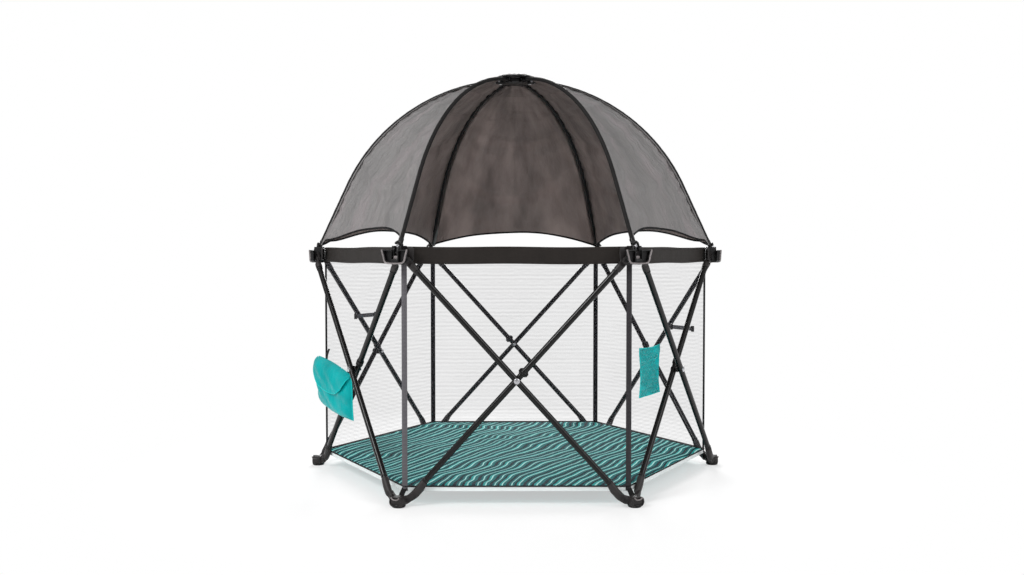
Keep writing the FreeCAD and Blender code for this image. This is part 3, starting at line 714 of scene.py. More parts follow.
def build_hubs():
    """Top castings: a tray-shaped bracket with a raised lip in front of the bars' upper ends; the lip's pale
    grey is a painted highlight along the tray's rim.
    """
    back, face, depth, notch = 0.0238, 0.0045, 0.0105, 0.0088
    boss_low, floor, web_low, web_height = 0.626, 0.64, 0.634, 0.04
    low, top = TRAY_LOW, TRAY_HIGH
    front = face + depth
    for label, sign in (("left", 1), ("right", -1)):
        outline = [(notch, low), (0.024, low), (0.0315, low + 0.006), (0.034, low + 0.018),
                   (0.0375, top - 0.004), (0.039, top), (notch, top)]
        outline = rounded(outline, 0.006, 5) * np.array([sign, 1])
        cheek = plate(f"hub_cheek_{label}", outline, corner_point(face), TANGENT, UP, depth,
                      BLACK_PLASTIC, 0.0014, recess=(0.0034, 0.0075))
        put_at_corners(f"cheek_{label}", cheek, "hub", replaced="hub" if sign > 0 else None)
        strip = [(-0.021, notch), (face + 0.002, notch), (face + 0.002, 0.0145), (-0.021, 0.0145)]
        strip = rounded(strip, 0.002, 4) * np.array([1, sign])
        web = plate(f"hub_web_{label}", strip, corner_point(z=web_low), RADIAL, TANGENT, web_height,
                    BLACK_PLASTIC, 0.0012)
        put_at_corners(f"web_{label}", web, "hub")
    half_lip = [(0.0235, low + 0.0008), (0.031, low + 0.0065), (0.0337, low + 0.017), (0.0368, top - 0.009),
                (0.0395, top + 0.0002)]
    lip = mirrored(half_lip, [(0.0, low - 0.0004)])
    line = [corner_point(front + 0.0006, y, z) for y, z in smooth_line(lip)]
    # painted highlight: the lip's pale grey plastic stands for the light along the tray's rim
    rim = sweep("hub_lip", line, oval(0.0021, 0.0026, 14), RADIAL, GREY_PLASTIC)
    put_at_corners("lip", rim, "hub")
    outline = [(-0.034, RIM_LOW + 0.006), (0.034, RIM_LOW + 0.006), (0.036, RIM_HIGH - 0.001),
               (-0.036, RIM_HIGH - 0.001)]
    wall = plate("hub_back", rounded(outline, 0.008, 6), corner_point(-back), TANGENT, UP, 0.0052, PLASTIC)
    put_at_corners("back", wall, "hub")
    boss = [(-0.01, -0.015), (front + 0.001, -0.012), (front + 0.001, 0.012), (-0.01, 0.015)]
    block = plate("hub_boss", rounded(boss, 0.005, 6), corner_point(z=boss_low), RADIAL, TANGENT,
                  floor - boss_low, BLACK_PLASTIC, 0.0018)
    put_at_corners("boss", block, "hub")
    ear = [(-0.002, TOP_PIN_Z - 0.009), (0.014, TOP_PIN_Z - 0.011),
           *arc_points((PIN_INSET, TOP_PIN_Z), 0.0098, -70, 80, 12), (PIN_INSET - 0.006, 0.658),
           (-0.002, 0.662)]
    put_ears("hub", -1, ear, TOP_PIN_Z)


def smooth_line(points, steps=6):
    """A smooth run through points (Catmull-Rom)."""
    points = [np.array(p, float) for p in points]
    points = [2 * points[0] - points[1], *points, 2 * points[-1] - points[-2]]
    out = []
    for a, b, c, d in zip(points, points[1:], points[2:], points[3:]):
        for t in np.linspace(0, 1, steps, endpoint=False):
            square, cube = (2 * a - 5 * b + 4 * c - d) * t * t, (3 * b - a - 3 * c + d) * t ** 3
            out.append(0.5 * (2 * b + (c - a) * t + square + cube))
    return [*out, points[-2]]


def build_feet():
    """Foot castings: two elbow-shaped cheeks that meet in a rounded V over a small rubber pad."""
    outline = rounded([(-0.0145, 0.002), (0.0145, 0.002), (0.021, 0.011), (0.019, 0.024), (0.008, 0.029),
                       (-0.008, 0.029), (-0.019, 0.024), (-0.021, 0.011)], 0.007, 6)
    block = plate("foot_block", outline, corner_point(-0.01), TANGENT, UP, 0.026, PLASTIC, 0.003,
                  recess=(0.0045, 0.003))
    put_at_corners("block", block, "foot", replaced="foot")
    clip = smooth_line([(-0.0125, 0.0265), (-0.006, 0.0215), (0.006, 0.0215), (0.0125, 0.0265)])
    line = [corner_point(0.0168, y, z) for y, z in clip]
    put_at_corners("clip", sweep("foot_clip", line, oval(0.0016, 0.0022, 12), RADIAL, GREY_PLASTIC), "foot")
    pad = [(0, 0.0), (0, 0.0155), (0.0012, 0.0172), (0.003, 0.018), (0.0062, 0.018), (0.0078, 0.0168),
           (0.008, 0.0)]
    put_at_corners("pad", lathe("foot_pad", corner_point(), UP, pad, BLACK_PLASTIC), "foot")
    elbow = [(-0.002, 0.004), (0.012, 0.0045), (0.022, 0.0075), (0.032, 0.0135), (0.0385, 0.022),
             (0.0425, 0.033), (0.037, 0.037), (0.029, 0.032), (0.02, 0.029), (0.008, 0.027), (-0.002, 0.026)]
    put_ears("foot", 1, elbow, FOOT_PIN_Z)


# ---------------------------------------------------------------- canopy

POLE_TURN = POLE_FOOT_ANGLE - POLE_CROWN_ANGLE
POLE_MEAN = (POLE_FOOT_ANGLE + POLE_CROWN_ANGLE) / 2
POLE_RUN = SIDE - math.hypot(*POLE_CROWN[:2])
POLE_RISE = POLE_CROWN[2] - POLE_FOOT[2]
POLE_STRAIGHT = abs(POLE_RISE * math.cos(POLE_MEAN) - POLE_RUN * math.sin(POLE_MEAN))
POLE_STRAIGHT /= math.sin(POLE_TURN / 2)
POLE_CHORD = abs(POLE_RUN * math.sin(POLE_FOOT_ANGLE) - POLE_RISE * math.cos(POLE_FOOT_ANGLE))
POLE_CHORD /= math.sin(POLE_TURN / 2)
POLE_BEND = POLE_CHORD / (2 * math.sin(POLE_TURN / 2))
POLE_LENGTH = POLE_STRAIGHT + POLE_BEND * POLE_TURN


def pole_at(distance):
    """Radius, height and slope of the pole at a distance from its foot pin."""
    along = min(distance, POLE_STRAIGHT)
    slope = POLE_FOOT_ANGLE - max(distance - POLE_STRAIGHT, 0) / POLE_BEND
    radius = SIDE - along * math.cos(POLE_FOOT_ANGLE)
    radius -= POLE_BEND * (math.sin(POLE_FOOT_ANGLE) - math.sin(slope))
    height = POLE_FOOT[2] + along * math.sin(POLE_FOOT_ANGLE)
    height += POLE_BEND * (math.cos(slope) - math.cos(POLE_FOOT_ANGLE))
    return radius, height, slope


def pole_point(distance):
    radius, height, _ = pole_at(distance)
    return np.array([radius, 0, height])


def distance_where(test):
    return next(d for d in np.linspace(0, POLE_LENGTH, 4000) if test(*pole_at(d)[:2]))


GORE_START = distance_where(lambda radius, height: height >= HEM_Z)
GORE_END = distance_where(lambda radius, height: radius <= GORE_TOP_RADIUS)
GORE_LENGTH = GORE_END - GORE_START


def build_poles():
    body, rod_radius = "canopy_pole", POLE_RADIUS * 0.86
    line = [pole_point(d) for d in np.linspace(0.004, POLE_LENGTH - 0.004, 60)]
    put_at_corners("rod", sweep("pole_rod", line, oval(rod_radius, rod_radius, 20), TANGENT, ROD), body,
                   body)
    stations = np.linspace(GORE_START + 0.012, GORE_END - 0.004, 90)
    line = [pole_point(d) for d in stations]
    puckers = [1 + 0.05 * math.sin(d * 190) * math.sin(d * 57) for d in stations]
    sections = [oval(POLE_RADIUS * 1.18 * pucker, POLE_RADIUS * 1.12, 20) for pucker in puckers]
    put_at_corners("sleeve", sweep("pole_sleeve", line, sections, TANGENT, BLACK_CLOTH), body)
    eye = mirrored([(0.0042, 0.005), (0.0047, 0.0044), (0.0047, 0.0026)])
    cup = [(0.003, 0.0035), (0.005, 0.0047), (0.026, 0.0047), (0.0285, 0.0043), (0.029, 0.0036)]
    for label, at, inward in (("foot", 0.0, 1), ("crown", POLE_LENGTH, -1)):
        slope = pole_at(at)[2]
        way = np.array([-math.cos(slope), 0, math.sin(slope)]) * inward
        for part, axis, profile in (("eye", TANGENT, eye), ("ferrule", way, cup)):
            mesh = lathe(f"pole_{label}_{part}", pole_point(at), axis, profile, BLACK_PLASTIC, 28)
            put_at_corners(f"{label}_{part}", mesh, body)


def build_saddles():
    low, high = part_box("canopy_saddle_2")
    half_width, inner = high[1], high[1] - 0.003
    body = "canopy_saddle"
    base = rounded(rectangle(0.009, half_width), 0.0025, 4)
    block = plate("saddle_base", base, corner_point(z=low[2]), RADIAL, TANGENT, 0.008, GREY_PLASTIC, 0.001)
    put_at_corners("base", block, body, body)
    for label, sign in (("left", 1), ("right", -1)):
        cheek = [(-0.009, low[2] + 0.001), (0.009, low[2] + 0.001), (0.009, 0.662),
                 *arc_points((0.0025, 0.664), 0.0065, 0, 180, 12), (-0.009, 0.660)]
        start = corner_point(0, half_width if sign > 0 else -inner, 0)
        mesh = plate(f"saddle_cheek_{label}", rounded(cheek, 0.001, 1), start, RADIAL, UP, 0.003,
                     BLACK_PLASTIC, 0.0007)
        put_at_corners(f"cheek_{label}", mesh, body)
    stub = mirrored([(inner, 0.0025), (half_width - 0.001, 0.0036), (half_width, 0.0034), (half_width, 0.0)])
    axle = lathe("saddle_pin", corner_point(z=POLE_FOOT[2]), TANGENT, stub, RIVET, 24)
    put_at_corners("pin", axle, body)


def build_hooks():
    """The clip at the foot of each gore: a curled hook on the pole, just above the hub."""
    radius, height, slope = pole_at(GORE_START - 0.006)
    centre = np.array([radius + 0.004, 0, height])
    body, curl_radius = "canopy_pole", 0.011
    turns = np.linspace(-2.4, 2.6, 28)
    curl = [centre + np.array([0, math.cos(a), math.sin(a)]) * curl_radius for a in turns]
    thick = [oval(0.0034 * f, 0.0036 * f, 14) for f in np.concatenate([np.linspace(0.45, 1, 8), np.ones(20)])]
    put_at_corners("clip_hook", sweep("clip_hook", curl, thick, RADIAL, BLACK_PLASTIC), body)
    stud = [(-0.002, 0.0), (-0.002, 0.0042), (0.005, 0.0042), (0.006, 0.0036), (0.0064, 0.0)]
    put_at_corners("clip_stud", lathe("clip_stud", centre, RADIAL, stud, RIVET, 20), body)
    barrel = [(-0.017, 0.0052), (-0.016, 0.0066), (0.02, 0.0066), (0.022, 0.0058), (0.022, 0.0048)]
    way = np.array([-math.cos(slope), 0, math.sin(slope)])
    mesh = lathe("clip_barrel", np.array([radius, 0, height]), way, barrel, BLACK_PLASTIC, 24)
    put_at_corners("clip_barrel", mesh, body)


def gore_point(across, along):
    """A point of side 0's gore: across runs -1 to 1 between poles, along 0 to 1 from hem to crown."""
    hem = HEM_RISE * (1 - abs(across) ** 2.3)
    start = GORE_START + hem / math.sin(POLE_FOOT_ANGLE)
    radius, height, slope = pole_at(start + (GORE_END - start) * along)
    half = radius * math.sin(math.radians(STEP / 2)) - 0.004
    apothem = radius * math.cos(math.radians(STEP / 2))
    belly = 0.02 * (1 - across ** 2) * math.sin(math.pi * min(along * 1.15, 1)) ** 0.7
    apothem -= belly * math.sin(slope)
    height -= belly * math.cos(slope)
    return np.array([half * across, -apothem, height])


def relaxed(grid, held, frames):
    """The grid after a short cloth simulation with a little slack, pinned where held is 1."""
    mesh = bpy.data.meshes.new("cloth_trial")
    mesh.from_pydata([tuple(p) for p in grid.reshape(-1, 3)], [], grid_quads(*grid.shape[:2]))
    trial = bpy.data.objects.new("cloth_trial", mesh)
    bpy.context.scene.collection.objects.link(trial)
    group = trial.vertex_groups.new(name="held")
    for index, weight in enumerate(held.reshape(-1)):
        if weight > 0:
            group.add([index], float(weight), "REPLACE")
    cloth = trial.modifiers.new("cloth", "CLOTH")
    settings = cloth.settings
    settings.vertex_group_mass = "held"
    settings.quality = 6
    settings.mass = 0.12
    settings.tension_stiffness = settings.compression_stiffness = 18
    settings.shear_stiffness = 8
    settings.bending_stiffness = 0.35
    settings.shrink_min = settings.shrink_max = -0.014
    settings.air_damping = 4
    cloth.point_cache.frame_start, cloth.point_cache.frame_end = 1, frames
    scene = bpy.context.scene
    for step in range(1, frames + 1):
        scene.frame_set(step)
    result = trial.evaluated_get(bpy.context.evaluated_depsgraph_get())
    moved = np.array([v.co for v in result.data.vertices]).reshape(grid.shape)
    scene.frame_set(1)
    bpy.data.objects.remove(trial)
    return moved


SETTLING_FRAMES = 22
RIPPLE_DEPTH, FOLD_DEPTH = 0.0012, 0.0055


def gore_grid(side):
    """One gore's surface, slightly different on each side."""
    columns, rows = 41, 49
    rng = np.random.default_rng(40 + side)
    across, along = np.meshgrid(np.linspace(-1, 1, columns), np.linspace(0, 1, rows))
    grid = np.array([[gore_point(a, b) for a in across[0]] for b in along[:, 0]])
    inside = (1 - across ** 2) * np.minimum(1, 6 * (1 - along))
    ripple = np.zeros_like(across)
    for _ in range(5):
        tilt, pitch, phase = rng.uniform(-2.2, 2.2), rng.uniform(2.5, 6.5), rng.uniform(0, 6.28)
        ripple += np.sin(pitch * across + tilt * 3 * along + phase)
    grid[..., 1] -= RIPPLE_DEPTH * ripple * inside
    held = np.zeros(across.shape)
    held[:, 0] = held[:, -1] = held[-1, :] = 1
    grid = relaxed(grid, held, SETTLING_FRAMES)
    pull = drag_folds(across, along, rng) * inside
    return grid + grid_normals(grid) * (FOLD_DEPTH * pull)[:, :, None]


def drag_folds(across, along, rng):
    """Creases that fan out from a gore's two lower corners, where the clips pull on it."""
    folds = np.zeros_like(across)
    for corner in (-1, 1):
        reach = np.hypot(across - corner, along * 1.5)
        bearing = np.arctan2(along * 1.5, np.abs(across - corner) + 1e-6)
        count, phase = rng.uniform(8, 11), rng.uniform(0, 6.28)
        ridge = np.sin(count * bearing + phase + 0.5 * np.sin(2.2 * reach + phase))
        folds += ridge * np.exp(-((reach - 0.75) / 0.4) ** 2)
    return folds


def build_gores():
    grids = {1: gore_grid(1), 2: gore_grid(2), 3: gore_grid(3)}
    width = 2 * SIDE * math.sin(math.radians(STEP / 2))
    for side in range(1, SIDES):
        grid = grids[min(side, SIDES - side)]
        if side > 3:
            grid = grid[:, ::-1] * np.array([-1, 1, 1])
        normals = grid_normals(grid)
        middle = grid.shape[1] // 2
        halves = (("near", side, slice(0, middle + 1)), ("far", side + 1, slice(middle, None)))
        for label, corner, columns in halves:
            build_gore_half(side, label, corner % SIDES, grid[:, columns], normals[:, columns], width)


def build_gore_half(side, label, corner, part, normals, width):
    """Half a gore with its bound hem and pole seam; it folds towards the pole that it rides on."""
    body, angle = f"canopy_pole_{corner}", STEP * side
    start = (0.0 if label == "near" else width / 2, side * 0.37)
    size = (width / 2, GORE_LENGTH)
    mesh = sheet_mesh(f"gore_{side}_{label}", part, 0.0008, [CANOPY_OUT, CANOPY_IN], size, start, normals)
    piece = put(f"canopy_gore_{side}_{label}", mesh, body, angle, (f"canopy_gore_{side}",))
    hem = sweep(f"gore_hem_{side}_{label}", part[0], oval(0.0032, 0.0014, 14), OUTWARD + UP * 0.3, BLACK_TAPE)
    hem_piece = put(f"canopy_hem_{side}_{label}", hem, body, angle)
    column, inward = (0, 0.006) if label == "near" else (-1, -0.006)
    edge = part[:, column] + 0.0014 * normals[:, column] + ALONG * inward
    tape = ribbon(f"gore_tape_{side}_{label}", edge, ALONG, 0.011, 0.0006, CANOPY_OUT)
    tape_piece = put(f"canopy_seam_{side}_{label}", tape, body, angle)
    for item in (piece, hem_piece, tape_piece):
        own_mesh(item)


def build_crown():
    disc = [(0.0, 0.0), (0.0, 0.034), (0.002, 0.038), (0.011, 0.038), (0.013, 0.034), (0.013, 0.0)]
    base = np.array([0, 0, CROWN_LOW])
    put("crown_hub", lathe("crown_hub", base, UP, disc, BLACK_PLASTIC), "crown", 0,
        ("canopy_crown",))
    cheek = rounded([(0.03, 0.0), (0.058, 0.001), (0.061, 0.007), (0.056, 0.0135), (0.03, 0.0135)], 0.003, 4)
    for corner in range(SIDES):
        for label, y in (("a", 0.0053), ("b", -0.0083)):
            mesh = plate(f"crown_cheek_{label}", cheek, (0, y + 0.003, CROWN_LOW), RADIAL, UP, 0.003,
                         BLACK_PLASTIC, 0.0007)
            put(f"crown_cheek_{corner}_{label}", mesh, "crown", corner_angle(corner))
        stub = mirrored([(0.0072, 0.0024), (0.0075, 0.0036), (0.0085, 0.0036), (0.0085, 0.0)])
        centre = np.array([math.hypot(*POLE_CROWN[:2]), 0, POLE_CROWN[2]])
        mesh = lathe("crown_pin", centre, TANGENT, stub, RIVET, 20)
        put(f"crown_pin_{corner}", mesh, "crown", corner_angle(corner))
    rows, around = 14, 72
    low = POLE_CROWN[2] + 0.0068
    grid = []
    for i in range(rows):
        share = 0.02 + 0.98 * i / (rows - 1)
        row = []
        for j in range(around + 1):
            angle = 2 * math.pi * j / around
            turn = angle - math.radians(FIRST_CORNER)
            radius = 0.0705 * share * (0.955 + 0.045 * math.cos(SIDES * turn))
            dome = (CROWN_HIGH - low - 0.0015) * (1 - share ** 3.2)
            pleat = 0.0009 * math.sin(18 * angle) * share
            row.append((radius * math.cos(angle), radius * math.sin(angle), low + dome + pleat))
        grid.append(row)
    grid = np.array(grid)[::-1]
    mesh = sheet_mesh("crown_cap", grid, 0.0016, [BLACK_CLOTH], (0.44, 0.075))
    cap = put("crown_cap", mesh, "crown")
    rim = sweep("cap_binding", grid[0], oval(0.0022, 0.0022, 12), UP, BLACK_TAPE, caps=False)
    put("crown_cap_binding", rim, "crown")


# ---------------------------------------------------------------- walls, rim and bindings

def wall_grid(low, high, plane, columns, rows, wave, seed):
    """A panel of side 0 between two heights, with soft ripples that die out at its edges."""
    half = plane * TAN_30 - 0.001
    rng = np.random.default_rng(seed)
    bumps = random_waves(rng, 5, (1, 4), (2, 9))
    grid = np.zeros((rows, columns, 3))
    for i, v in enumerate(np.linspace(0, 1, rows)):
        for j, u in enumerate(np.linspace(-1, 1, columns)):
            edge = (1 - u ** 6) * math.sin(math.pi * min(max(v, 0.001), 0.999)) ** 0.4
            push = sum(math.sin(a * 1.6 * u + b * v + c) for a, b, c in bumps) * wave * edge / 5
            grid[i, j] = (half * u, -plane + 0.001 + abs(push), low + (high - low) * v)
    return grid


def put_on_hub(name, mesh, side, stands_for=()):
    """Puts a soft piece on its side's first hub, with a mesh of its own."""
    piece = put(name, mesh, f"hub_{side}", STEP * side, stands_for)
    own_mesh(piece)
    return piece


HEM_HEIGHT = 0.012


def build_walls():
    height = WALL_HIGH - WALL_LOW
    width = 2 * WALL_PLANE * TAN_30
    for side in range(SIDES):
        grid = wall_grid(WALL_LOW + 0.003, RIM_LOW + 0.01, WALL_PLANE, 49, 49, 0.006, side)
        mesh = sheet_mesh(f"netting_{side}", grid, 0, NETTING, (width, height))
        piece = put_on_hub(f"wall_netting_{side}", mesh, side, (f"mesh_wall_{side}",))
        hem = wall_grid(WALL_LOW, WALL_LOW + HEM_HEIGHT, WALL_PLANE + 0.0006, 49, 5, 0.0, side)
        mesh = sheet_mesh(f"hem_{side}", hem, 0.0012, HEM_WHITE, (width, HEM_HEIGHT))
        hem_piece = put_on_hub(f"wall_hem_{side}", mesh, side)
        line = hem[-1] + OUTWARD * 0.0006 + UP * 0.0008
        mesh = sweep(f"wall_piping_{side}", line, oval(0.0021, 0.0021, 12), OUTWARD, BLACK_TAPE)
        piping = put_on_hub(f"wall_piping_{side}", mesh, side)
        build_rim(side)


def build_rim(side):
    """The rim band: a folded strip with a rounded top edge, a bottom seam and two rows of stitches."""
    height = RIM_HIGH - RIM_LOW
    half = WALL_PLANE * TAN_30 - 0.001
    phases = np.random.default_rng(60 + side).uniform(0, 6.28, 4)
    section = oval(height / 2, 0.0019, 28, 5.0)
    line, sections = [], []
    for u in np.linspace(-1, 1, 61):
        sag = (0.0012 * math.sin(5 * u + phases[0]) - 0.0015) * (1 - u * u)
        line.append((half * u, -WALL_PLANE + 0.0019, RIM_LOW + height / 2 + sag))
        sections.append(section * np.array([1, 1 + 0.25 * math.sin(9 * u + phases[1]) * (1 - u ** 4)]))
    mesh = sweep(f"rim_{side}", line, sections, (0, 1, 0), RIM_CLOTH)
    band = put_on_hub(f"rim_band_{side}", mesh, side, ("rim_band",))
    for label, z in (("top", RIM_HIGH - 0.006), ("low", RIM_LOW + 0.005)):
        name = f"rim_stitches_{side}_{label}"
        put_on_hub(name, stitch_row(name, half * 0.985, -WALL_PLANE - 0.0003, z), side)


def stitch_row(name, half, y, z):
    """Short thread dashes along a straight seam."""
    pitch, length, thick = 0.0062, 0.0042, 0.0005
    vertices, faces = [], []
    for middle in np.arange(-half, half, pitch):
        sag = -0.002 * (1 - (middle / half) ** 2)
        base = len(vertices)
        for dx in (-length / 2, length / 2):
            vertices += [(middle + dx, y, z + sag - thick), (middle + dx, y - thick, z + sag),
                         (middle + dx, y, z + sag + thick)]
        prism = ((0, 1, 4, 3), (1, 2, 5, 4), (0, 2, 1), (3, 4, 5), (0, 3, 5, 2))
        faces += [tuple(base + v for v in face) for face in prism]
    return make_mesh(name, vertices, faces, THREAD)


def build_bindings():
    """Corner bindings folded round each wall corner, from the mat to the rim."""
    plane = WALL_PLANE + 0.0012
    # painted light and shade: the same binding is grey at the front-left corner, mid grey at the front-right
    # and black at the rear corners, as the corners are lit
    webbing = {0: GREY_WEBBING, 1: DARK_WEBBING}
    for corner in range(SIDES):
        grid = []
        for z in np.linspace(MAT_LOW + 0.002, RIM_LOW + 0.004, 40):
            row = []
            for step in np.linspace(-1, 1, 9):
                spread = 0.0085 * step
                bend = 0.0012 * max(0, 1 - abs(step) * 3)
                x = plane / COS_30 - abs(spread) * TAN_30 - bend
                row.append((x, spread, z))
            grid.append(row)
        mesh = sheet_mesh(f"binding_{corner}", grid, 0.001, webbing.get(corner, BLACK_TAPE),
                          (0.018, WALL_HIGH - MAT_LOW))
        put(f"corner_binding_{corner}", mesh, f"hub_{corner}", corner_angle(corner),
            ("webbing_trim",) if corner == 0 else ())


# ---------------------------------------------------------------- mat

def mat_half_grid(top):
    """The mat's front half as a grid, from its front edge to the fold line; its top or its bottom skin."""
    rows, columns = 41, 81
    rng = np.random.default_rng(7)
    waves = random_waves(rng, 6, (4, 15), (4, 15))
    grid = np.zeros((rows, columns, 3))
    for i, v in enumerate(np.linspace(0, 1, rows)):
        y = -MAT_APOTHEM * (1 - v) - 0.0002 * v
        half = (MAT_APOTHEM * 2 - abs(y)) * TAN_30
        for j, u in enumerate(np.linspace(-1, 1, columns)):
            x = half * u
            to_edge = MAT_APOTHEM - max(abs(y), abs(x) * COS_30 + abs(y) / 2)
            crown = min(1, max(0, min(1, 14 * to_edge / 0.3))) ** 0.5
            wrinkle = sum(math.sin(a * x + b * y + c) for a, b, c in waves) / 6
            high = MAT_HIGH - 0.004 + 0.0035 * crown + 0.0022 * wrinkle * crown
            low = MAT_LOW + 0.003 - 0.002 * crown
            grid[i, j] = (x, y, high if top else low)
    return grid


def build_mat():
    top, bottom = mat_half_grid(True), mat_half_grid(False)
    quads = grid_quads(*top.shape[:2])
    line = np.concatenate([top[::-1, 0], top[0, 1:], top[1:, -1]]) + np.array([0, 0, 0.0004])
    for label, angle, body, corner in (("front", 0, "mat_front", 0), ("rear", 180, "mat_rear", 4)):
        turn = np.array(Matrix.Rotation(math.radians(angle), 3, "Z"))
        skins = (top @ turn.T, bottom @ turn.T)
        mesh = two_skins(f"mat_{label}", *skins, quads, [MAT_PRINT, MAT_BACK], (0, 1), None, 50)
        mat = put(f"play_mat_{label}", mesh, body, 0, (f"floor_mat_{label}",))
        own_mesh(mat)
        name = f"mat_binding_{label}"
        binding = put(name, sweep(name, line @ turn.T, oval(0.0026, 0.0026, 12), UP, BLACK_TAPE), body)
        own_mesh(binding)


def build_mat_straps():
    """Webbing from each mat corner down to its foot."""
    start, end = MAT_APOTHEM / COS_30 - 0.004, SIDE - 0.0095
    line = [(start + t * (end - start), 0, MAT_HIGH - 0.004 - (MAT_HIGH - 0.028) * t ** 1.4)
            for t in np.linspace(0, 1, 12)]
    mesh = ribbon("mat_strap", line, TANGENT, 0.016, 0.0014, BLACK_TAPE)
    put_at_corners("mat_strap", mesh, "foot")


# ---------------------------------------------------------------- pouch, pocket and pull loops

def blended(corners, u, v):
    """A point between four corners (bottom left, bottom right, top left, top right), u and v from -1 to 1."""
    a, b, c, d = (np.array(corner) for corner in corners)
    u, v = (u + 1) / 2, (v + 1) / 2
    return (a * (1 - u) + b * u) * (1 - v) + (c * (1 - u) + d * u) * v


def build_pouch():
    """A soft satchel with a rounded flap, outside the front-left side; it droops towards its near end."""
    low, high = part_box("storage_pouch")[0][2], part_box("storage_pouch")[1][2]
    far, near = 0.018 - SIDE / 2, 0.276 - SIDE / 2  # its ends along the side
    corners = ((far + 0.042, low + 0.018), (near + 0.024, low - 0.008), (far, high + 0.003),
               (near, high - 0.03))
    face = APOTHEM - 0.001
    rows, columns = 49, 65
    rng = np.random.default_rng(11)
    folds = random_waves(rng, 8, (3, 13), (3, 13))

    def point(u, v, push):
        x, z = blended(corners, u, v)
        z -= 0.008 * (1 - u * u) * (1 - v) / 2 - 0.006 * (1 - u * u) * (1 + v) / 2
        x += 0.004 * math.sin(2.2 * v) * u
        return (x, -face - 0.0015 - push, z)

    def crease(u, v):
        return sum(math.sin(a * u + b * v + c + 1.6 * math.sin(2 * v + c)) for a, b, c in folds) / 8

    def bulge(u, v):
        edge = (1 - abs(u) ** 5) ** 0.5 * (1 - abs(v) ** 5) ** 0.5
        return max((0.0265 - 0.008 * u + 0.006 * crease(u, v)) * edge, 0)

    across, upward = np.linspace(-1, 1, columns), np.linspace(-1, 1, rows)
    front = np.array([[point(u, v, bulge(u, v)) for u in across] for v in upward])
    back = np.array([[point(u, v, 0) for u in across] for v in upward])
    hang = []
    for share in np.linspace(0, 1, 27):
        row = []
        for u in across:
            reach = 0.05 + 0.5 * (1 - abs(u) ** 3.2)
            v = 1 - (1 - share) * 2 * reach
            puff = 0.0026 + 0.0035 * (1 - share) + 0.0018 * math.sin(9 * u + 5 * share) * (1 - share)
            row.append(point(u * 1.01, v, bulge(u, min(v, 0.985)) + puff))
        hang.append(row)
    hang = np.array(hang)
    size = (near - far, high - low)
    seam = np.concatenate([back[::-1, 0], back[0, 1:], back[1:, -1]])
    made = [
        ("front", sheet_mesh("pouch_front", front, 0.0012, [TEAL], size)),
        ("back", sheet_mesh("pouch_back", back + np.array([0, 0.0008, 0]), 0.001, [TEAL], size)),
        ("flap", sheet_mesh("pouch_flap", hang, 0.0012, [TEAL], (size[0], size[1] * 0.6), (0.4, 0.1))),
        ("flap_piping", sweep("flap_piping", hang[0], oval(0.0015, 0.0017, 10), UP, TEAL_EDGE)),
        ("piping", sweep("pouch_piping", seam, oval(0.0017, 0.0017, 10), OUTWARD, TEAL_EDGE)),
    ]
    for label, u in (("far", -0.55), ("near", 0.8)):
        x, _, z = point(u, 1, 0)
        strap = smooth_line([(x, -face + 0.0015, z - 0.02), (x, -face + 0.001, z),
                             (x + 0.004, -face + 0.002, z + 0.016), (x + 0.008, -face + 0.006, z + 0.03)])
        mesh = ribbon(f"pouch_strap_{label}", strap, ALONG, 0.014, 0.0012, BLACK_TAPE)
        made.append((f"strap_{label}", mesh))
    for label, mesh in made:
        stands_for = ("storage_pouch",) if label == "front" else ()
        put_on_hub(f"storage_pouch_{label}", mesh, 5, stands_for)


def build_pocket():
    low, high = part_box("side_pocket")
    height = high[2] - low[2]
    start, width = 0.086 - SIDE / 2, 0.145  # from the corner's pin, along the side
    rows, columns = 25, 25
    grid = np.zeros((rows, columns, 3))
    for i, v in enumerate(np.linspace(0, 1, rows)):
        for j, u in enumerate(np.linspace(0, 1, columns)):
            sag = 0.004 * math.sin(math.pi * u) * (v ** 3)
            y = -WALL_PLANE + 0.0032 + 0.0022 * math.sin(math.pi * u) * math.sin(math.pi * min(v * 1.1, 1))
            pinch = 0.009 * math.sin(math.pi * min(v * 1.15, 1)) * (1 - 2 * u)
            ruffle = 0.0011 * math.sin(23 * v + 3 * u) * math.sin(9 * u)
            grid[i, j] = (start + width * u + pinch, y + ruffle, low[2] + height * v - sag)
    grid = grid[:, ::-1]
    mesh = sheet_mesh("side_pocket", grid, 0.0012, [TEAL], (width, height))
    piece = put_on_hub("side_pocket_panel", mesh, 1, ("side_pocket",))
    outline = np.concatenate([grid[0], grid[1:, -1], grid[-1, ::-1][1:]])
    mesh = sweep("side_pocket_piping", outline, oval(0.0015, 0.0015, 10), OUTWARD, TEAL_EDGE)
    piping = put_on_hub("side_pocket_piping", mesh, 1)


def build_pull_loops():
    """Short webbing handles on the inside of the two rear side walls, each with a buckle bar at its ends."""
    half, buckle = 0.052, rounded(rectangle(0.006, 0.0095), 0.003, 4)
    for side, x, z in ((4, 0.1, 0.453), (2, -0.19, 0.418)):
        y = -WALL_PLANE + 0.0035
        bow = smooth_line([(x - half, y, z), (x - half * 0.7, y + 0.002, z), (x, y + 0.011, z + 0.001),
                           (x + half * 0.7, y + 0.002, z), (x + half, y, z)], 8)
        name = f"pull_handle_{side}"
        put_on_hub(name, ribbon(name, bow, UP, 0.013, 0.0016, GREY_WEBBING), side)
        for label, end in (("a", x - half), ("b", x + half)):
            bar = plate(f"pull_buckle_{side}{label}", buckle, (end, y + 0.0045, z), ALONG, UP, 0.004,
                        BLACK_PLASTIC, 0.0008, recess=(0.0028, 0.002))
            put_on_hub(f"pull_buckle_{side}_{label}", bar, side)


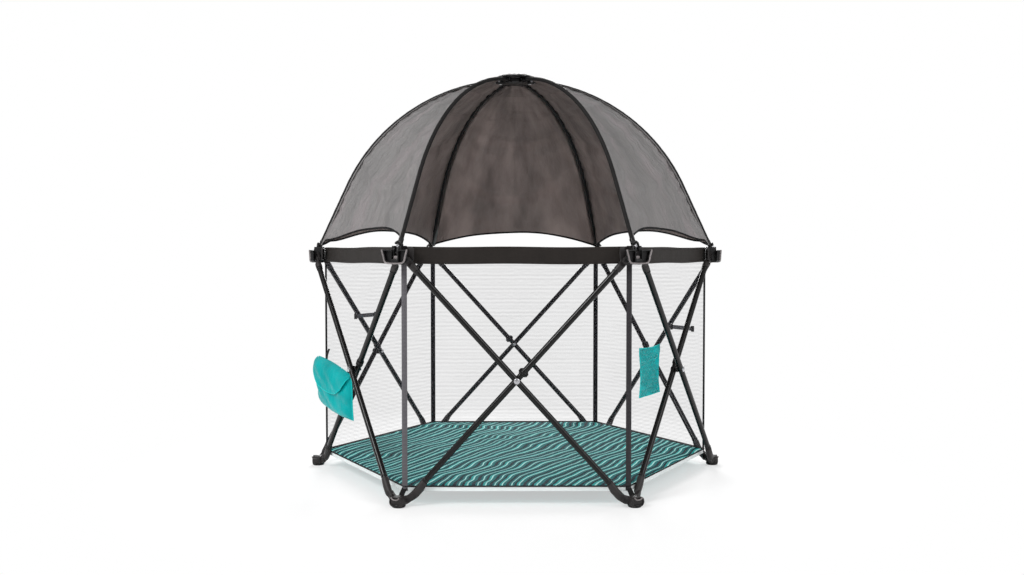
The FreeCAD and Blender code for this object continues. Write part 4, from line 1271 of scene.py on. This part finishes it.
# ---------------------------------------------------------------- studio

def build_studio():
    scene = bpy.context.scene
    size = 14.0  # half the floor's width
    square = [(-size, -size, 0), (size, -size, 0), (size, size, 0), (-size, size, 0)]
    floor = make_mesh("studio_floor", square, [(0, 1, 2, 3)], studio_floor())
    ground = bpy.data.objects.new("studio_floor", floor)
    scene.collection.objects.link(ground)
    world = bpy.data.worlds.new("studio")
    world.use_nodes = True
    nodes, links = world.node_tree.nodes, world.node_tree.links
    background = nodes["Background"]
    background.inputs["Color"].default_value = (1, 1, 1, 1)
    path = nodes.new("ShaderNodeLightPath")
    strength = nodes.new("ShaderNodeMapRange")
    strength.inputs["To Min"].default_value, strength.inputs["To Max"].default_value = 0.5, 1.0
    links.new(path.outputs["Is Camera Ray"], strength.inputs["Value"])
    links.new(strength.outputs["Result"], background.inputs["Strength"])
    scene.world = world
    lamps = (("key", (-2.6, -2.4, 3.2), 105, 1.7), ("fill", (2.8, -2.4, 2.4), 48, 2.4),
             ("back", (0.1, 3.6, 2.2), 190, 2.2))
    for name, spot, power, width in lamps:
        lamp = bpy.data.lights.new(name, "AREA")
        lamp.energy, lamp.size, lamp.shape = power, width, "DISK"
        item = bpy.data.objects.new(name, lamp)
        item.location = spot
        item.rotation_euler = (Vector((0, 0, 0.6)) - Vector(spot)).to_track_quat("-Z", "Y").to_euler()
        scene.collection.objects.link(item)
    look_down, turn_right = 1.975, 0.23
    camera = bpy.data.objects.new("camera", bpy.data.cameras.new("camera"))
    camera.data.lens, camera.data.sensor_width = 35.78, 36.0
    camera.location = (-0.0228, -3.137, 0.657)
    camera.rotation_euler = (math.radians(90 - look_down), 0, math.radians(-turn_right))
    scene.collection.objects.link(camera)
    scene.camera = camera
    scene.view_settings.view_transform = "Standard"


build_bars()
build_lock_collars()
build_hubs()
build_feet()
build_poles()
build_saddles()
build_hooks()
build_gores()
build_crown()
build_walls()
build_bindings()
build_mat()
build_mat_straps()
build_pouch()
build_pocket()
build_pull_loops()
build_studio()
